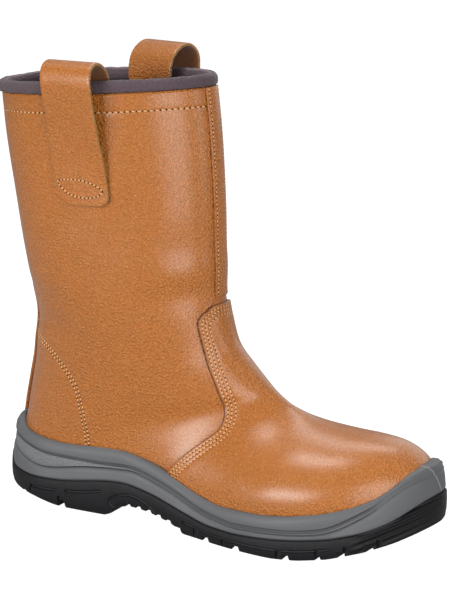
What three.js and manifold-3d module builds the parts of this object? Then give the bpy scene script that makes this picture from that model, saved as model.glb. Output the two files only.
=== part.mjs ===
// Rigger boot, right foot: a pull-on leather work boot with a two-colour moulded sole.
// Millimetres. While it is modelled, x runs from the back of the heel to the toe, +y is the
// inner (medial) side and z is up from the floor. The group at the end moves the origin to
// the middle of the footprint.
import * as THREE from 'three';
import { mergeVertices } from 'three/addons/utils/BufferGeometryUtils.js';
import Module from 'manifold-3d';

const wasm = await Module();
wasm.setup();

// Driving sizes
const SOLE_LENGTH = 302;
const LEATHER = 2.2;
const OVERLAY = 2.2;
const GAP = 0.3;
const INSOLE = 3.5;
const BINDING_HEIGHT = 7.5;
const SHAFT_FOOT = 140;
const STRAP_WIDTH = 36.5;
const STRAP_THICK = 2.2;

// Sampling of the curved forms
const AROUND = 28;
const SECTION_SPACING = 24;
const OUTLINE_STEPS = 2;
const STRAP_STEPS = 2;

// Plan of the sole: half-breadths to each side of the heel-to-toe line
const OUTLINE = [
  { station: 0, lateral: 0, medial: 0 },
  { station: 4, lateral: 17.5, medial: 17.5 },
  { station: 15, lateral: 30.5, medial: 30.5 },
  { station: 35, lateral: 39, medial: 39 },
  { station: 60, lateral: 40.5, medial: 39 },
  { station: 88, lateral: 40, medial: 35.8 },
  { station: 99, lateral: 40, medial: 34.3 },
  { station: 120, lateral: 41, medial: 32 },
  { station: 150, lateral: 46.5, medial: 34.5 },
  { station: 180, lateral: 53.5, medial: 41 },
  { station: 205, lateral: 57, medial: 46 },
  { station: 225, lateral: 56.5, medial: 48.5 },
  { station: 250, lateral: 50.5, medial: 48 },
  { station: 270, lateral: 41, medial: 43 },
  { station: 285, lateral: 29.5, medial: 34.5 },
  { station: 296, lateral: 14.5, medial: 23 },
  { station: SOLE_LENGTH, lateral: -4, medial: 4 },
];

// Heights of the sole's lines, seen from the side
const TREAD = [
  { station: 0, height: 12 }, { station: 6, height: 7.5 }, { station: 14, height: 5.4 },
  { station: 24, height: 4.4 }, { station: 36, height: 3 }, { station: 50, height: 0.5 },
  { station: 56, height: 0 }, { station: 88, height: 0 }, { station: 93, height: 2 },
  { station: 99, height: 7.5 }, { station: 108, height: 8.9 }, { station: 122, height: 7.9 },
  { station: 136, height: 5.4 }, { station: 143, height: 3.6 }, { station: 149, height: 0 },
  { station: 215, height: 0 }, { station: 232, height: 0.8 }, { station: 250, height: 3.2 },
  { station: 270, height: 8 }, { station: 285, height: 12.9 }, { station: 302, height: 20 },
];
const OUTSOLE_TOP = [
  { station: 0, height: 34 }, { station: 3, height: 29 }, { station: 7, height: 21.5 },
  { station: 13, height: 18.2 }, { station: 33, height: 17.4 }, { station: 56, height: 18.4 },
  { station: 90, height: 23.5 }, { station: 104, height: 24.3 }, { station: 127, height: 20.2 },
  { station: 150, height: 14.4 }, { station: 166, height: 11 }, { station: 189, height: 10.4 },
  { station: 212, height: 12.1 }, { station: 232, height: 13.8 }, { station: 251, height: 16.1 },
  { station: 268, height: 20 }, { station: 279, height: 24.5 }, { station: 287, height: 29 },
  { station: 293, height: 34.4 }, { station: 302, height: 40 },
];
const RIM_TOP = [
  { station: 0, height: 51.5 }, { station: 9, height: 50.5 }, { station: 13, height: 47.5 },
  { station: 20, height: 45 }, { station: 36, height: 43.4 }, { station: 56, height: 42.2 },
  { station: 86, height: 43.8 }, { station: 102, height: 44 },
  { station: 126, height: 38.6 }, { station: 147, height: 31 }, { station: 160, height: 26.8 },
  { station: 176, height: 23.8 }, { station: 208, height: 24.9 }, { station: 229, height: 27.5 },
  { station: 248, height: 31.1 }, { station: 261, height: 35 }, { station: 273, height: 40.2 },
  { station: 280, height: 45.9 }, { station: 287, height: 53 }, { station: 293, height: 56.5 },
  { station: 302, height: 56.5 },
];
const RIM_GROOVE = [
  { station: 0, height: 44 }, { station: 12, height: 41 }, { station: 22, height: 38.4 },
  { station: 34, height: 36 }, { station: 45, height: 34.3 }, { station: 84, height: 33.8 },
  { station: 109, height: 35 }, { station: 139, height: 27.1 }, { station: 163, height: 18.7 },
  { station: 187, height: 15.6 }, { station: 231, height: 18.3 }, { station: 249, height: 21 },
  { station: 258, height: 24.8 }, { station: 266, height: 31.8 }, { station: 274, height: 36 },
  { station: 302, height: 50 },
];
const BAND_GROOVE = [
  { station: 0, height: 36 }, { station: 10, height: 32.5 }, { station: 20, height: 28.5 },
  { station: 32, height: 25.4 }, { station: 43, height: 24.6 },
  { station: 55, height: 26.2 }, { station: 70, height: 29.2 }, { station: 85, height: 30.8 },
  { station: 109, height: 32.5 }, { station: 139, height: 24.6 }, { station: 163, height: 16.4 },
  { station: 187, height: 13.4 }, { station: 231, height: 16 }, { station: 258, height: 20.5 },
  { station: 302, height: 46 },
];
// Under the foot: the top of the black plate, and the top of the grey foam
const PLATE_TOP = [
  { station: 0, height: 14 }, { station: 60, height: 11 }, { station: 92, height: 13.5 },
  { station: 112, height: 15 }, { station: 140, height: 10.5 }, { station: 165, height: 6.2 },
  { station: 215, height: 6.2 }, { station: 250, height: 9.4 }, { station: 280, height: 17 },
  { station: 302, height: 26 },
];
const SEAT = [
  { station: 0, height: 27 }, { station: 92, height: 27 }, { station: 118, height: 25.5 },
  { station: 145, height: 19.5 }, { station: 170, height: 14 }, { station: 215, height: 13.5 },
  { station: 250, height: 16.4 }, { station: 280, height: 23.5 }, { station: 302, height: 31 },
];

// Side wall of each part of the sole: how far in from the outline, at a height above one of
// the lines. read is how far in that height is taken. Both lists pass the seam between the
// two parts in the same direction, so that its faces run side by side.
const OUTSOLE_WALL = [
  { line: 'tread', rise: 0, inset: 3, read: 3 },
  { line: 'tread', rise: 2, inset: 0.7, read: 1 },
  { line: 'middle', rise: 0, inset: 0, read: 1 },
  { line: 'outsoleTop', rise: -1, inset: 0.5, read: 1.5 },
  { line: 'outsoleTop', rise: 0, inset: 1.5, read: 1.5 },
  { line: 'plateTop', rise: 0, inset: 6.3, read: 6.3 },
];
const MIDSOLE_WALL = [
  { line: 'rimTop', rise: -1.5, inset: 13, read: 7 },
  { line: 'rimTop', rise: 0, inset: 7.6, read: 7 },
  { line: 'rimTop', rise: -0.7, inset: 5.4, read: 7 },
  { line: 'rimTop', rise: -2.6, inset: 4.2, read: 7 },
  { line: 'rimGroove', rise: 1, inset: 3.4, read: 4 },
  { line: 'rimGroove', rise: 0, inset: 4.3, read: 4 },
  { line: 'rimGroove', rise: -1, inset: 3.2, read: 4 },
  { line: 'bandGroove', rise: 1, inset: 2.3, read: 3 },
  { line: 'bandGroove', rise: 0, inset: 3.1, read: 3 },
  { line: 'bandGroove', rise: -1, inset: 2.2, read: 3 },
  { line: 'outsoleTop', rise: 1.8, inset: 1.1, read: 1.5 },
  { line: 'outsoleTop', rise: GAP, inset: 1.9, read: 1.5 },
  { line: 'plateTop', rise: GAP, inset: 6.7, read: 6.3 },
];

// Channels that part the lugs of the tread, right across the sole
const CHANNELS = [
  { station: 32, width: 4, depth: 3, turn: -12 },
  { station: 56.5, width: 6, depth: 5, turn: 0 },
  { station: 161.5, width: 5.5, depth: 4, turn: 8 },
  { station: 184, width: 6, depth: 4, turn: 8 },
  { station: 222, width: 5, depth: 4, turn: 4 },
  { station: 245, width: 4, depth: 3.5, turn: 0 },
  { station: 261, width: 4, depth: 3.5, turn: -4 },
  { station: 278, width: 4, depth: 3.2, turn: -8 },
];
// Channels that run along the sole
const RUNS = [
  { from: 152, to: 290, across: -18, width: 5, depth: 3.6 },
  { from: 152, to: 290, across: 16, width: 5, depth: 3.6 },
  { from: 12, to: 88, across: -1, width: 6, depth: 3 },
];
// Low ribs under the waist
const WAIST_RIBS = { from: 102, to: 142, count: 6, width: 3.4, height: 1.6 };

// Cutting forms reach past the boot by this much
const CUT_HALF_BREADTH = 90;
const CUT_MARGIN = 30;
const CUT_DEPTH = 12;
const CUT_TOP = 340;

// Sections of the last. Each lies in a plane through its front (or top) and back (or
// bottom) point. wide is where the section is broadest, from back to front; the powers
// square or point its front and back; ridge is the y of the front point; nose moves the
// section back as the wall gets thicker, where the surface faces forwards.
const SECTIONS = [
  { frontX: 145, frontZ: 280, backX: 1, backZ: 271, lateral: 46, medial: 46,
    wide: 0.46, front: 1.8, back: 2.4, ridge: 0, nose: 0 },
  { frontX: 149, frontZ: 245, backX: 4, backZ: 237, lateral: 45.5, medial: 45.5,
    wide: 0.46, front: 1.8, back: 2.4, ridge: 0, nose: 0 },
  { frontX: 151.5, frontZ: 205, backX: 9.5, backZ: 198, lateral: 45, medial: 45,
    wide: 0.46, front: 1.8, back: 2.3, ridge: 0, nose: 0 },
  { frontX: 152.5, frontZ: 170, backX: 14, backZ: 168, lateral: 44, medial: 44,
    wide: 0.46, front: 1.82, back: 2.25, ridge: 0, nose: 0 },
  { frontX: 153, frontZ: 145, backX: 19, backZ: 143, lateral: 42.5, medial: 42.5,
    wide: 0.46, front: 1.85, back: 2.2, ridge: 0, nose: 0 },
  { frontX: 155, frontZ: 129, backX: 22.5, backZ: 118, lateral: 40.5, medial: 40.5,
    wide: 0.46, front: 1.88, back: 2.15, ridge: 0.5, nose: 0 },
  { frontX: 160.5, frontZ: 113, backX: 20.3, backZ: 98, lateral: 38.5, medial: 38.5,
    wide: 0.44, front: 1.9, back: 2.12, ridge: 1, nose: 0 },
  { frontX: 170.5, frontZ: 100, backX: 15.8, backZ: 78, lateral: 36.5, medial: 35.5,
    wide: 0.42, front: 1.95, back: 2.1, ridge: 2, nose: 0 },
  { frontX: 181.5, frontZ: 88.5, backX: 11, backZ: 55, lateral: 35, medial: 33.5,
    wide: 0.38, front: 1.95, back: 2.1, ridge: 3, nose: 0 },
  { frontX: 186, frontZ: 84.3, backX: 9.5, backZ: 30, lateral: 33.8, medial: 32,
    wide: 0.34, front: 1.95, back: 2.3, ridge: 3.5, nose: 0 },
  { frontX: 191, frontZ: 80.2, backX: 45, backZ: 18, lateral: 33, medial: 28.5,
    wide: 0.34, front: 1.95, back: 2.8, ridge: 4, nose: 0 },
  { frontX: 196.5, frontZ: 76.5, backX: 90, backZ: 14, lateral: 33.4, medial: 24.6,
    wide: 0.34, front: 1.95, back: 3, ridge: 4.5, nose: 0 },
  { frontX: 204, frontZ: 73, backX: 135, backZ: 9, lateral: 38, medial: 26.2,
    wide: 0.34, front: 2, back: 3, ridge: 4.5, nose: 0 },
  { frontX: 212, frontZ: 70, backX: 170, backZ: 5, lateral: 43.6, medial: 31.6,
    wide: 0.34, front: 2.02, back: 3, ridge: 4, nose: 0 },
  { frontX: 223, frontZ: 67.6, backX: 200, backZ: 4, lateral: 46.6, medial: 36.1,
    wide: 0.35, front: 2.05, back: 3, ridge: 3, nose: 0 },
  { frontX: 239, frontZ: 65.8, backX: 228, backZ: 5, lateral: 45.1, medial: 38.1,
    wide: 0.36, front: 2.1, back: 3, ridge: 2.5, nose: 0.1 },
  { frontX: 256, frontZ: 64.9, backX: 250, backZ: 7, lateral: 39.6, medial: 37.5,
    wide: 0.38, front: 2.15, back: 3, ridge: 2.5, nose: 0.25 },
  { frontX: 270, frontZ: 63, backX: 267, backZ: 10, lateral: 31.4, medial: 33.4,
    wide: 0.4, front: 2.2, back: 2.8, ridge: 3, nose: 0.5 },
  { frontX: 281, frontZ: 58.4, backX: 279, backZ: 14, lateral: 22.8, medial: 27.4,
    wide: 0.42, front: 2.2, back: 2.6, ridge: 3.5, nose: 0.8 },
  { frontX: 288, frontZ: 52, backX: 287.5, backZ: 19, lateral: 14.5, medial: 20.5,
    wide: 0.45, front: 2.1, back: 2.4, ridge: 4, nose: 1 },
  { frontX: 292.5, frontZ: 42, backX: 292.5, backZ: 27, lateral: 5, medial: 12,
    wide: 0.5, front: 2, back: 2, ridge: 4, nose: 1 },
];

// Section of the collar's binding: how far out from the last, and how far below its crest
const BINDING_SECTION = [
  { out: 1.5, drop: 7 }, { out: 1.9, drop: 4.6 }, { out: 1.5, drop: 2 }, { out: 0, drop: 0.3 },
  { out: -2, drop: 0 }, { out: -4, drop: 0.8 }, { out: -5.2, drop: 3 }, { out: -5.4, drop: 5.4 },
  { out: -4.8, drop: 7.2 }, { out: -1.6, drop: BINDING_HEIGHT },
];

// Edge of the vamp, seen from the side, from the front of the ankle round to the sole
const VAMP_EDGE = [
  { x: 175, z: 139.5 }, { x: 153, z: 139 }, { x: 149, z: 136 }, { x: 146, z: 132 },
  { x: 145.2, z: 127 }, { x: 147.8, z: 116 }, { x: 151.3, z: 106 }, { x: 155.6, z: 95.5 },
  { x: 159.7, z: 86 }, { x: 163, z: 77 }, { x: 164, z: 71 }, { x: 163.3, z: 66 },
  { x: 160.7, z: 62 }, { x: 152.7, z: 55.3 }, { x: 141.7, z: 45.5 }, { x: 133, z: 35 },
  { x: 124, z: 22 }, { x: 118, z: 0 }, { x: 330, z: 0 }, { x: 330, z: 139.5 },
];
const BACK_STRIP = { halfWidth: 11, bottom: 52.5, thick: 2.4, fromX: -20, toX: 60 };
const FRONT_STRIP = { halfWidth: 7, bottom: 143.5, thick: 1.4, fromX: 100, toX: 180 };

// Pull loops. run is the strap's middle line in the plane square to the boot's side: how far
// out from the leather's outer face, how high, and how closely the strap's breadth follows
// the curve of the boot's side there.
const PULL_LOOPS = [
  {
    name: 'pull_loop_lateral', side: -1, topX: 75, bottomX: 80, turn: -3,
    run: [
      { out: 1.5, z: 203, follow: 1 }, { out: 1.6, z: 214, follow: 1 },
      { out: 2.4, z: 228, follow: 0.6 }, { out: 4.6, z: 246, follow: 0 },
      { out: 7, z: 262, follow: 0 }, { out: 8.6, z: 275, follow: 0 },
      { out: 6.6, z: 283.5, follow: 0 }, { out: 1, z: 287, follow: 0 },
      { out: -5, z: 285.6, follow: 0 }, { out: -9.6, z: 280, follow: 0.1 },
      { out: -11, z: 271, follow: 0.4 }, { out: -9.6, z: 260, follow: 0.8 },
      { out: -5.8, z: 246, follow: 1 }, { out: -4.6, z: 230, follow: 1 },
    ],
  },
  {
    name: 'pull_loop_medial', side: 1, topX: 88, bottomX: 86, turn: -15,
    run: [
      { out: 1.5, z: 203, follow: 1 }, { out: 1.6, z: 214, follow: 1 },
      { out: 2.6, z: 228, follow: 0.6 }, { out: 5, z: 246, follow: 0 },
      { out: 8.4, z: 262, follow: 0 }, { out: 10.6, z: 275, follow: 0 },
      { out: 9.6, z: 285.5, follow: 0 }, { out: 3, z: 291.4, follow: 0 },
      { out: -5, z: 290.4, follow: 0 }, { out: -12, z: 283.5, follow: 0 },
      { out: -14, z: 271, follow: 0.1 }, { out: -11.4, z: 260, follow: 0.6 },
      { out: -6.2, z: 246, follow: 1 }, { out: -4.6, z: 230, follow: 1 },
    ],
  },
];

const COLOURS = {
  leather: { color: 0xc67c3e, roughness: 0.5, metalness: 0 },
  grey: { color: 0x636465, roughness: 0.62, metalness: 0 },
  black: { color: 0x26262b, roughness: 0.7, metalness: 0 },
  fabric: { color: 0x4e444c, roughness: 0.9, metalness: 0 },
  board: { color: 0x3a3940, roughness: 0.95, metalness: 0 },
};

// A smooth value through neighbouring numbers (Catmull-Rom), t from 0 to 1 between b and c
function smooth(a, b, c, d, t) {
  const slopeIn = (c - a) / 2;
  const slopeOut = (d - b) / 2;
  const t2 = t * t;
  const t3 = t2 * t;
  return (2 * t3 - 3 * t2 + 1) * b + (t3 - 2 * t2 + t) * slopeIn
    + (3 * t2 - 2 * t3) * c + (t3 - t2) * slopeOut;
}

// A line's height at a station, straight between the table's rows
function heightAt(rows, station) {
  const last = rows.length - 1;
  const above = rows.findIndex((row) => row.station > station);
  if (above === 0) return rows[0].height;
  if (above === -1) return rows[last].height;
  const low = rows[above - 1];
  const high = rows[above];
  const share = (station - low.station) / (high.station - low.station);
  return low.height + (high.height - low.height) * share;
}

// Rows of a table at finer steps, smooth in every column
function refined(rows, stepsBetween) {
  const last = rows.length - 1;
  const result = [];
  for (let i = 0; i < last; i += 1) {
    const around = [i - 1, i, i + 1, i + 2].map((k) => rows[Math.min(Math.max(k, 0), last)]);
    const steps = stepsBetween(rows[i], rows[i + 1]);
    for (let k = 0; k < steps; k += 1) {
      const row = {};
      for (const key of Object.keys(rows[0])) {
        row[key] = smooth(...around.map((r) => r[key]), k / steps);
      }
      result.push(row);
    }
  }
  result.push(rows[last]);
  return result;
}

// A closed solid from its corner points and triangles, turned the right way out
function solidOf(points, faces) {
  const positions = points.flatMap((p) => [p.x, p.y, p.z]);
  const geometry = new THREE.BufferGeometry();
  geometry.setAttribute('position', new THREE.Float32BufferAttribute(positions, 3));
  geometry.setIndex(faces.flat());
  return solidFrom(geometry);
}

function solidFrom(source) {
  const bare = source.clone();
  bare.deleteAttribute('normal');
  bare.deleteAttribute('uv');
  const merged = mergeVertices(bare, 1e-4);
  const places = merged.attributes.position.array;
  const corners = [...merged.index.array];
  const kept = [];
  let volume = 0;
  for (let i = 0; i < corners.length; i += 3) {
    const [a, b, c] = [corners[i], corners[i + 1], corners[i + 2]];
    if (a === b || b === c || c === a) continue;
    kept.push(a, b, c);
    const p = new THREE.Vector3().fromArray(places, a * 3);
    const q = new THREE.Vector3().fromArray(places, b * 3);
    const r = new THREE.Vector3().fromArray(places, c * 3);
    volume += p.dot(q.cross(r));
  }
  if (volume < 0) kept.reverse();
  const mesh = new wasm.Mesh({
    numProp: 3,
    vertProperties: new Float32Array(places),
    triVerts: new Uint32Array(kept),
  });
  return new wasm.Manifold(mesh);
}

// Rings of equal count joined in order; each end is closed by the given function
function loft(rings, closeEnd) {
  const count = rings[0].length;
  const points = rings.flat();
  const faces = [];
  for (let j = 0; j + 1 < rings.length; j += 1) {
    for (let i = 0; i < count; i += 1) {
      const a = j * count + i;
      const b = j * count + ((i + 1) % count);
      faces.push([a, b, b + count], [a, b + count, a + count]);
    }
  }
  const top = (rings.length - 1) * count;
  faces.push(...closeEnd(0, count).map(([a, b, c]) => [a, c, b]));
  faces.push(...closeEnd(top, count));
  return solidOf(points, faces);
}

// An end as rungs between its two sides, for rings that start on the middle line
function rungs(start, count) {
  const faces = [];
  for (let i = 0; i < count / 2; i += 1) {
    const a = start + i;
    const b = start + i + 1;
    const c = start + ((count - i - 1) % count);
    const d = start + ((count - i) % count);
    if (b !== c) faces.push([a, b, c]);
    if (a !== d) faces.push([a, c, d]);
  }
  return faces;
}

// A flat side view, (x, z) corners, made solid across the boot
function sideForm(corners, fromY, toY) {
  const shape = new THREE.Shape(corners.map((p) => new THREE.Vector2(p.x, p.z)));
  const geometry = new THREE.ExtrudeGeometry(shape, { depth: toY - fromY, bevelEnabled: false });
  geometry.rotateX(Math.PI / 2);
  geometry.translate(0, toY, 0);
  return solidFrom(geometry);
}

function block(sizeX, sizeY, sizeZ, x, y, z, turnDegrees = 0) {
  const geometry = new THREE.BoxGeometry(sizeX, sizeY, sizeZ);
  geometry.rotateZ(THREE.MathUtils.degToRad(turnDegrees));
  geometry.translate(x, y, z);
  return solidFrom(geometry);
}

// The sole's outline as one closed ring: out along the lateral side, back along the medial
function outlineRing() {
  const lateral = OUTLINE.map((row) => ({ x: row.station, y: -row.lateral }));
  const medial = OUTLINE.slice(1, -1).map((row) => ({ x: row.station, y: row.medial }));
  const loop = [...lateral, ...medial.reverse()];
  const count = loop.length;
  const ring = [];
  for (let i = 0; i < count; i += 1) {
    const around = [i + count - 1, i, i + 1, i + 2].map((k) => loop[k % count]);
    for (let k = 0; k < OUTLINE_STEPS; k += 1) {
      const t = k / OUTLINE_STEPS;
      const x = smooth(...around.map((p) => p.x), t);
      const y = smooth(...around.map((p) => p.y), t);
      ring.push(new THREE.Vector2(x, y));
    }
  }
  return ring;
}

const RING = outlineRing();

// The outline moved inwards by a distance
function insetRing(distance) {
  const count = RING.length;
  return RING.map((point, i) => {
    const ahead = RING[(i + 1) % count];
    const behind = RING[(i + count - 1) % count];
    const along = ahead.clone().sub(behind).normalize();
    return new THREE.Vector2(point.x - along.y * distance, point.y + along.x * distance);
  });
}

const LINES = {
  tread: (x) => heightAt(TREAD, x),
  outsoleTop: (x) => heightAt(OUTSOLE_TOP, x),
  middle: (x) => (heightAt(TREAD, x) + heightAt(OUTSOLE_TOP, x)) / 2,
  plateTop: (x) => heightAt(PLATE_TOP, x),
  bandGroove: (x) => heightAt(BAND_GROOVE, x),
  rimGroove: (x) => heightAt(RIM_GROOVE, x),
  rimTop: (x) => heightAt(RIM_TOP, x),
};

function soleForm(wall) {
  const rings = wall.map(({ line, rise, inset, read }) => {
    const levels = insetRing(read).map((p) => LINES[line](p.x) + rise);
    return insetRing(inset).map((p, i) => new THREE.Vector3(p.x, p.y, levels[i]));
  });
  return loft(rings, rungs);
}

// One section of the last as a ring of points, moved out (or in) by a distance
function sectionRing(row, out) {
  const frontPoint = new THREE.Vector2(row.frontX, row.frontZ);
  const backPoint = new THREE.Vector2(row.backX, row.backZ);
  const along = frontPoint.clone().sub(backPoint);
  const span = along.length();
  along.normalize();
  const centre = backPoint.clone().addScaledVector(along, span * row.wide);
  centre.x += out * row.nose;
  const middleY = (row.medial - row.lateral) / 2;
  const half = (row.medial + row.lateral) / 2 + out;
  const ring = [];
  for (let i = 0; i < AROUND; i += 1) {
    const angle = (2 * Math.PI * i) / AROUND;
    const c = Math.cos(angle);
    const s = Math.sin(angle);
    const isFront = c > 0;
    const reach = span * (isFront ? 1 - row.wide : row.wide) + out;
    const power = isFront ? row.front : row.back;
    const forward = Math.sign(c) * Math.abs(c) ** (2 / power);
    const sideways = -Math.sign(s) * Math.abs(s) ** (2 / power);
    const swing = isFront ? (row.ridge - middleY) * forward ** 2 : 0;
    ring.push(new THREE.Vector3(
      centre.x + along.x * reach * forward,
      middleY + swing + half * sideways,
      centre.y + along.y * reach * forward,
    ));
  }
  return ring;
}

const FINE_SECTIONS = refined(SECTIONS, (low, high) => {
  const frontMove = Math.hypot(high.frontX - low.frontX, high.frontZ - low.frontZ);
  const backMove = Math.hypot(high.backX - low.backX, high.backZ - low.backZ);
  return Math.ceil(Math.max(frontMove, backMove) / SECTION_SPACING);
});

// The last's form, closed, moved out by a distance; lift raises its first section
function lastForm(out, lift = 0) {
  const rows = FINE_SECTIONS.map((row, i) => {
    if (i > 0 || lift === 0) return row;
    return { ...row, frontZ: row.frontZ + lift, backZ: row.backZ + lift };
  });
  return loft(rows.map((row) => sectionRing(row, out)), rungs);
}

// A closed form of everything under a line, to part the boot at that height
function below(rows, rise) {
  const top = rows.map((row) => ({ x: row.station, z: row.height + rise }));
  const back = -CUT_MARGIN;
  const front = SOLE_LENGTH + CUT_MARGIN;
  top[0].x = back;
  top[top.length - 1].x = front;
  const corners = [...top, { x: front, z: -CUT_DEPTH }, { x: back, z: -CUT_DEPTH }];
  return sideForm(corners, -CUT_HALF_BREADTH, CUT_HALF_BREADTH);
}

// Everything above the collar's seam, in line with its slope
function aboveCollar(drop) {
  const { frontX, frontZ, backX, backZ } = SECTIONS[0];
  const slope = (frontZ - backZ) / (frontX - backX);
  const at = (x) => backZ + slope * (x - backX) - drop;
  const back = backX - CUT_MARGIN;
  const front = frontX + CUT_MARGIN;
  const corners = [
    { x: back, z: at(back) }, { x: front, z: at(front) },
    { x: front, z: CUT_TOP }, { x: back, z: CUT_TOP },
  ];
  return sideForm(corners, -CUT_HALF_BREADTH, CUT_HALF_BREADTH);
}

function makeOutsole() {
  let body = soleForm(OUTSOLE_WALL);
  const reach = 2 * CUT_HALF_BREADTH;
  for (const { station, width, depth, turn } of CHANNELS) {
    const top = heightAt(TREAD, station) + depth;
    const height = depth + CUT_DEPTH;
    body = body.subtract(block(width, reach, height, station, 0, top - height / 2, turn));
  }
  for (const { from, to, across, width, depth } of RUNS) {
    const rows = TREAD.filter((row) => row.station > from && row.station < to);
    const ends = [from, to].map((station) => ({ station, height: heightAt(TREAD, station) }));
    const line = [ends[0], ...rows, ends[1]];
    const corners = line.map((row) => ({ x: row.station, z: row.height + depth }));
    corners.push({ x: to, z: -CUT_DEPTH }, { x: from, z: -CUT_DEPTH });
    body = body.subtract(sideForm(corners, across - width / 2, across + width / 2));
  }
  const pitch = (WAIST_RIBS.to - WAIST_RIBS.from) / (WAIST_RIBS.count - 1);
  for (let i = 0; i < WAIST_RIBS.count; i += 1) {
    const station = WAIST_RIBS.from + pitch * i + pitch / 2;
    const top = heightAt(TREAD, station) + WAIST_RIBS.height;
    const height = WAIST_RIBS.height + CUT_DEPTH;
    const width = pitch - WAIST_RIBS.width;
    body = body.subtract(block(width, reach, height, station, 0, top - height / 2));
  }
  return body;
}

const footprint = lastForm(GAP);
const vampSide = sideForm(VAMP_EDGE, -CUT_HALF_BREADTH, CUT_HALF_BREADTH);
const vampRoom = lastForm(OVERLAY + 2 * GAP).intersect(vampSide);

function makeMidsole() {
  const room = footprint.add(vampRoom).subtract(below(SEAT, 0));
  return soleForm(MIDSOLE_WALL).subtract(room);
}

function makeUpper() {
  const wall = lastForm(0).subtract(lastForm(-LEATHER, 6));
  return wall.subtract(below(SEAT, GAP)).subtract(aboveCollar(BINDING_HEIGHT + GAP));
}

function makeInsole() {
  const board = lastForm(-LEATHER - 2 * GAP);
  return board.intersect(below(SEAT, GAP + INSOLE)).subtract(below(SEAT, GAP));
}

function makeVamp() {
  const skin = lastForm(GAP + OVERLAY).subtract(lastForm(GAP));
  return skin.intersect(vampSide).subtract(below(SEAT, GAP));
}

function makeStrip({ halfWidth, bottom, thick, fromX, toX }) {
  const skin = lastForm(GAP + thick, 4).subtract(lastForm(GAP, 6));
  const corners = [
    { x: fromX, z: bottom }, { x: toX, z: bottom },
    { x: toX, z: CUT_TOP }, { x: fromX, z: CUT_TOP },
  ];
  const band = sideForm(corners, -halfWidth, halfWidth);
  return skin.intersect(band).subtract(aboveCollar(BINDING_HEIGHT + GAP));
}

// The collar's binding: a rounded roll along the top of the leather
function makeBinding() {
  const rings = BINDING_SECTION.map(({ out, drop }) => {
    const ring = sectionRing(SECTIONS[0], out);
    return ring.map((p) => new THREE.Vector3(p.x, p.y, p.z - drop));
  });
  const faces = [];
  for (let j = 0; j < rings.length; j += 1) {
    const row = j * AROUND;
    const nextRow = ((j + 1) % rings.length) * AROUND;
    for (let i = 0; i < AROUND; i += 1) {
      const after = (i + 1) % AROUND;
      faces.push([row + i, row + after, nextRow + after]);
      faces.push([row + i, nextRow + after, nextRow + i]);
    }
  }
  return solidOf(rings.flat(), faces);
}

// How far the boot's side stands from the middle plane at a place on the shaft
function shaftSide(x, z, out) {
  const rows = FINE_SECTIONS.filter((row) => row.backZ > SHAFT_FOOT);
  const middleZ = (row) => (row.frontZ + row.backZ) / 2;
  const level = Math.min(z, middleZ(rows[0]));
  let index = rows.findIndex((row) => middleZ(row) <= level);
  index = Math.max(index, 1);
  const upper = rows[index - 1];
  const lower = rows[index];
  const share = (middleZ(upper) - level) / (middleZ(upper) - middleZ(lower));
  const mix = (key) => upper[key] + (lower[key] - upper[key]) * share;
  const span = mix('frontX') - mix('backX');
  const centre = mix('backX') + span * mix('wide');
  const isFront = x > centre;
  const reach = span * (isFront ? 1 - mix('wide') : mix('wide')) + out;
  const power = isFront ? mix('front') : mix('back');
  const offset = Math.min(Math.abs(x - centre) / reach, 1);
  return (mix('lateral') + out) * (1 - offset ** power) ** (1 / power);
}

// A strap bent over the collar; it is flat across where it stands free and follows the
// boot's side where it is sewn down
function makePullLoop({ side, topX, bottomX, turn, run }) {
  const fine = refined(run, () => STRAP_STEPS);
  const across = [-0.5, -0.25, 0, 0.25, 0.5];
  const slant = Math.tan(THREE.MathUtils.degToRad(turn));
  const points = [];
  const low = run[0].z;
  const high = Math.max(...run.map((p) => p.z));
  const normalAt = (i) => {
    const ahead = fine[Math.min(i + 1, fine.length - 1)];
    const behind = fine[Math.max(i - 1, 0)];
    const alongOut = ahead.out - behind.out;
    const alongZ = ahead.z - behind.z;
    const length = Math.hypot(alongOut, alongZ);
    return { out: alongZ / length, z: -alongOut / length };
  };
  fine.forEach((place, i) => {
    const normal = normalAt(i);
    const middleX = bottomX + (topX - bottomX) * ((place.z - low) / (high - low));
    const base = shaftSide(middleX, place.z, 0);
    const free = 1 - place.follow;
    for (const face of [-0.5, 0.5]) {
      for (const share of across) {
        const shift = share * STRAP_WIDTH;
        const x = middleX + shift;
        const fold = shaftSide(x, place.z, 0) - base;
        const bow = fold * place.follow + shift * slant * side * free;
        const out = place.out + normal.out * face * STRAP_THICK;
        const z = place.z + normal.z * face * STRAP_THICK;
        const lean = -side * slant * out * free;
        points.push(new THREE.Vector3(x + lean, side * (base + bow + out), z));
      }
    }
  });
  const perRing = across.length * 2;
  const rings = fine.map((_, i) => {
    const ring = points.slice(i * perRing, (i + 1) * perRing);
    const inner = ring.slice(0, across.length);
    const outer = ring.slice(across.length).reverse();
    return [...inner, ...outer];
  });
  const closeEnd = (start) => {
    const faces = [];
    for (let i = 0; i + 1 < across.length; i += 1) {
      const a = start + i;
      const b = start + i + 1;
      const c = start + perRing - 2 - i;
      const d = start + perRing - 1 - i;
      faces.push([a, b, c], [a, c, d]);
    }
    return faces;
  };
  return loft(rings, closeEnd);
}

function meshOf(name, solid, look) {
  const { vertProperties, triVerts, numProp } = solid.getMesh();
  const places = [];
  for (let i = 0; i < vertProperties.length; i += numProp) {
    places.push(vertProperties[i], vertProperties[i + 1], vertProperties[i + 2]);
  }
  const geometry = new THREE.BufferGeometry();
  geometry.setAttribute('position', new THREE.Float32BufferAttribute(places, 3));
  geometry.setIndex([...triVerts]);
  geometry.computeVertexNormals();
  const mesh = new THREE.Mesh(geometry, new THREE.MeshStandardMaterial(COLOURS[look]));
  mesh.name = name;
  return mesh;
}

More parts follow.
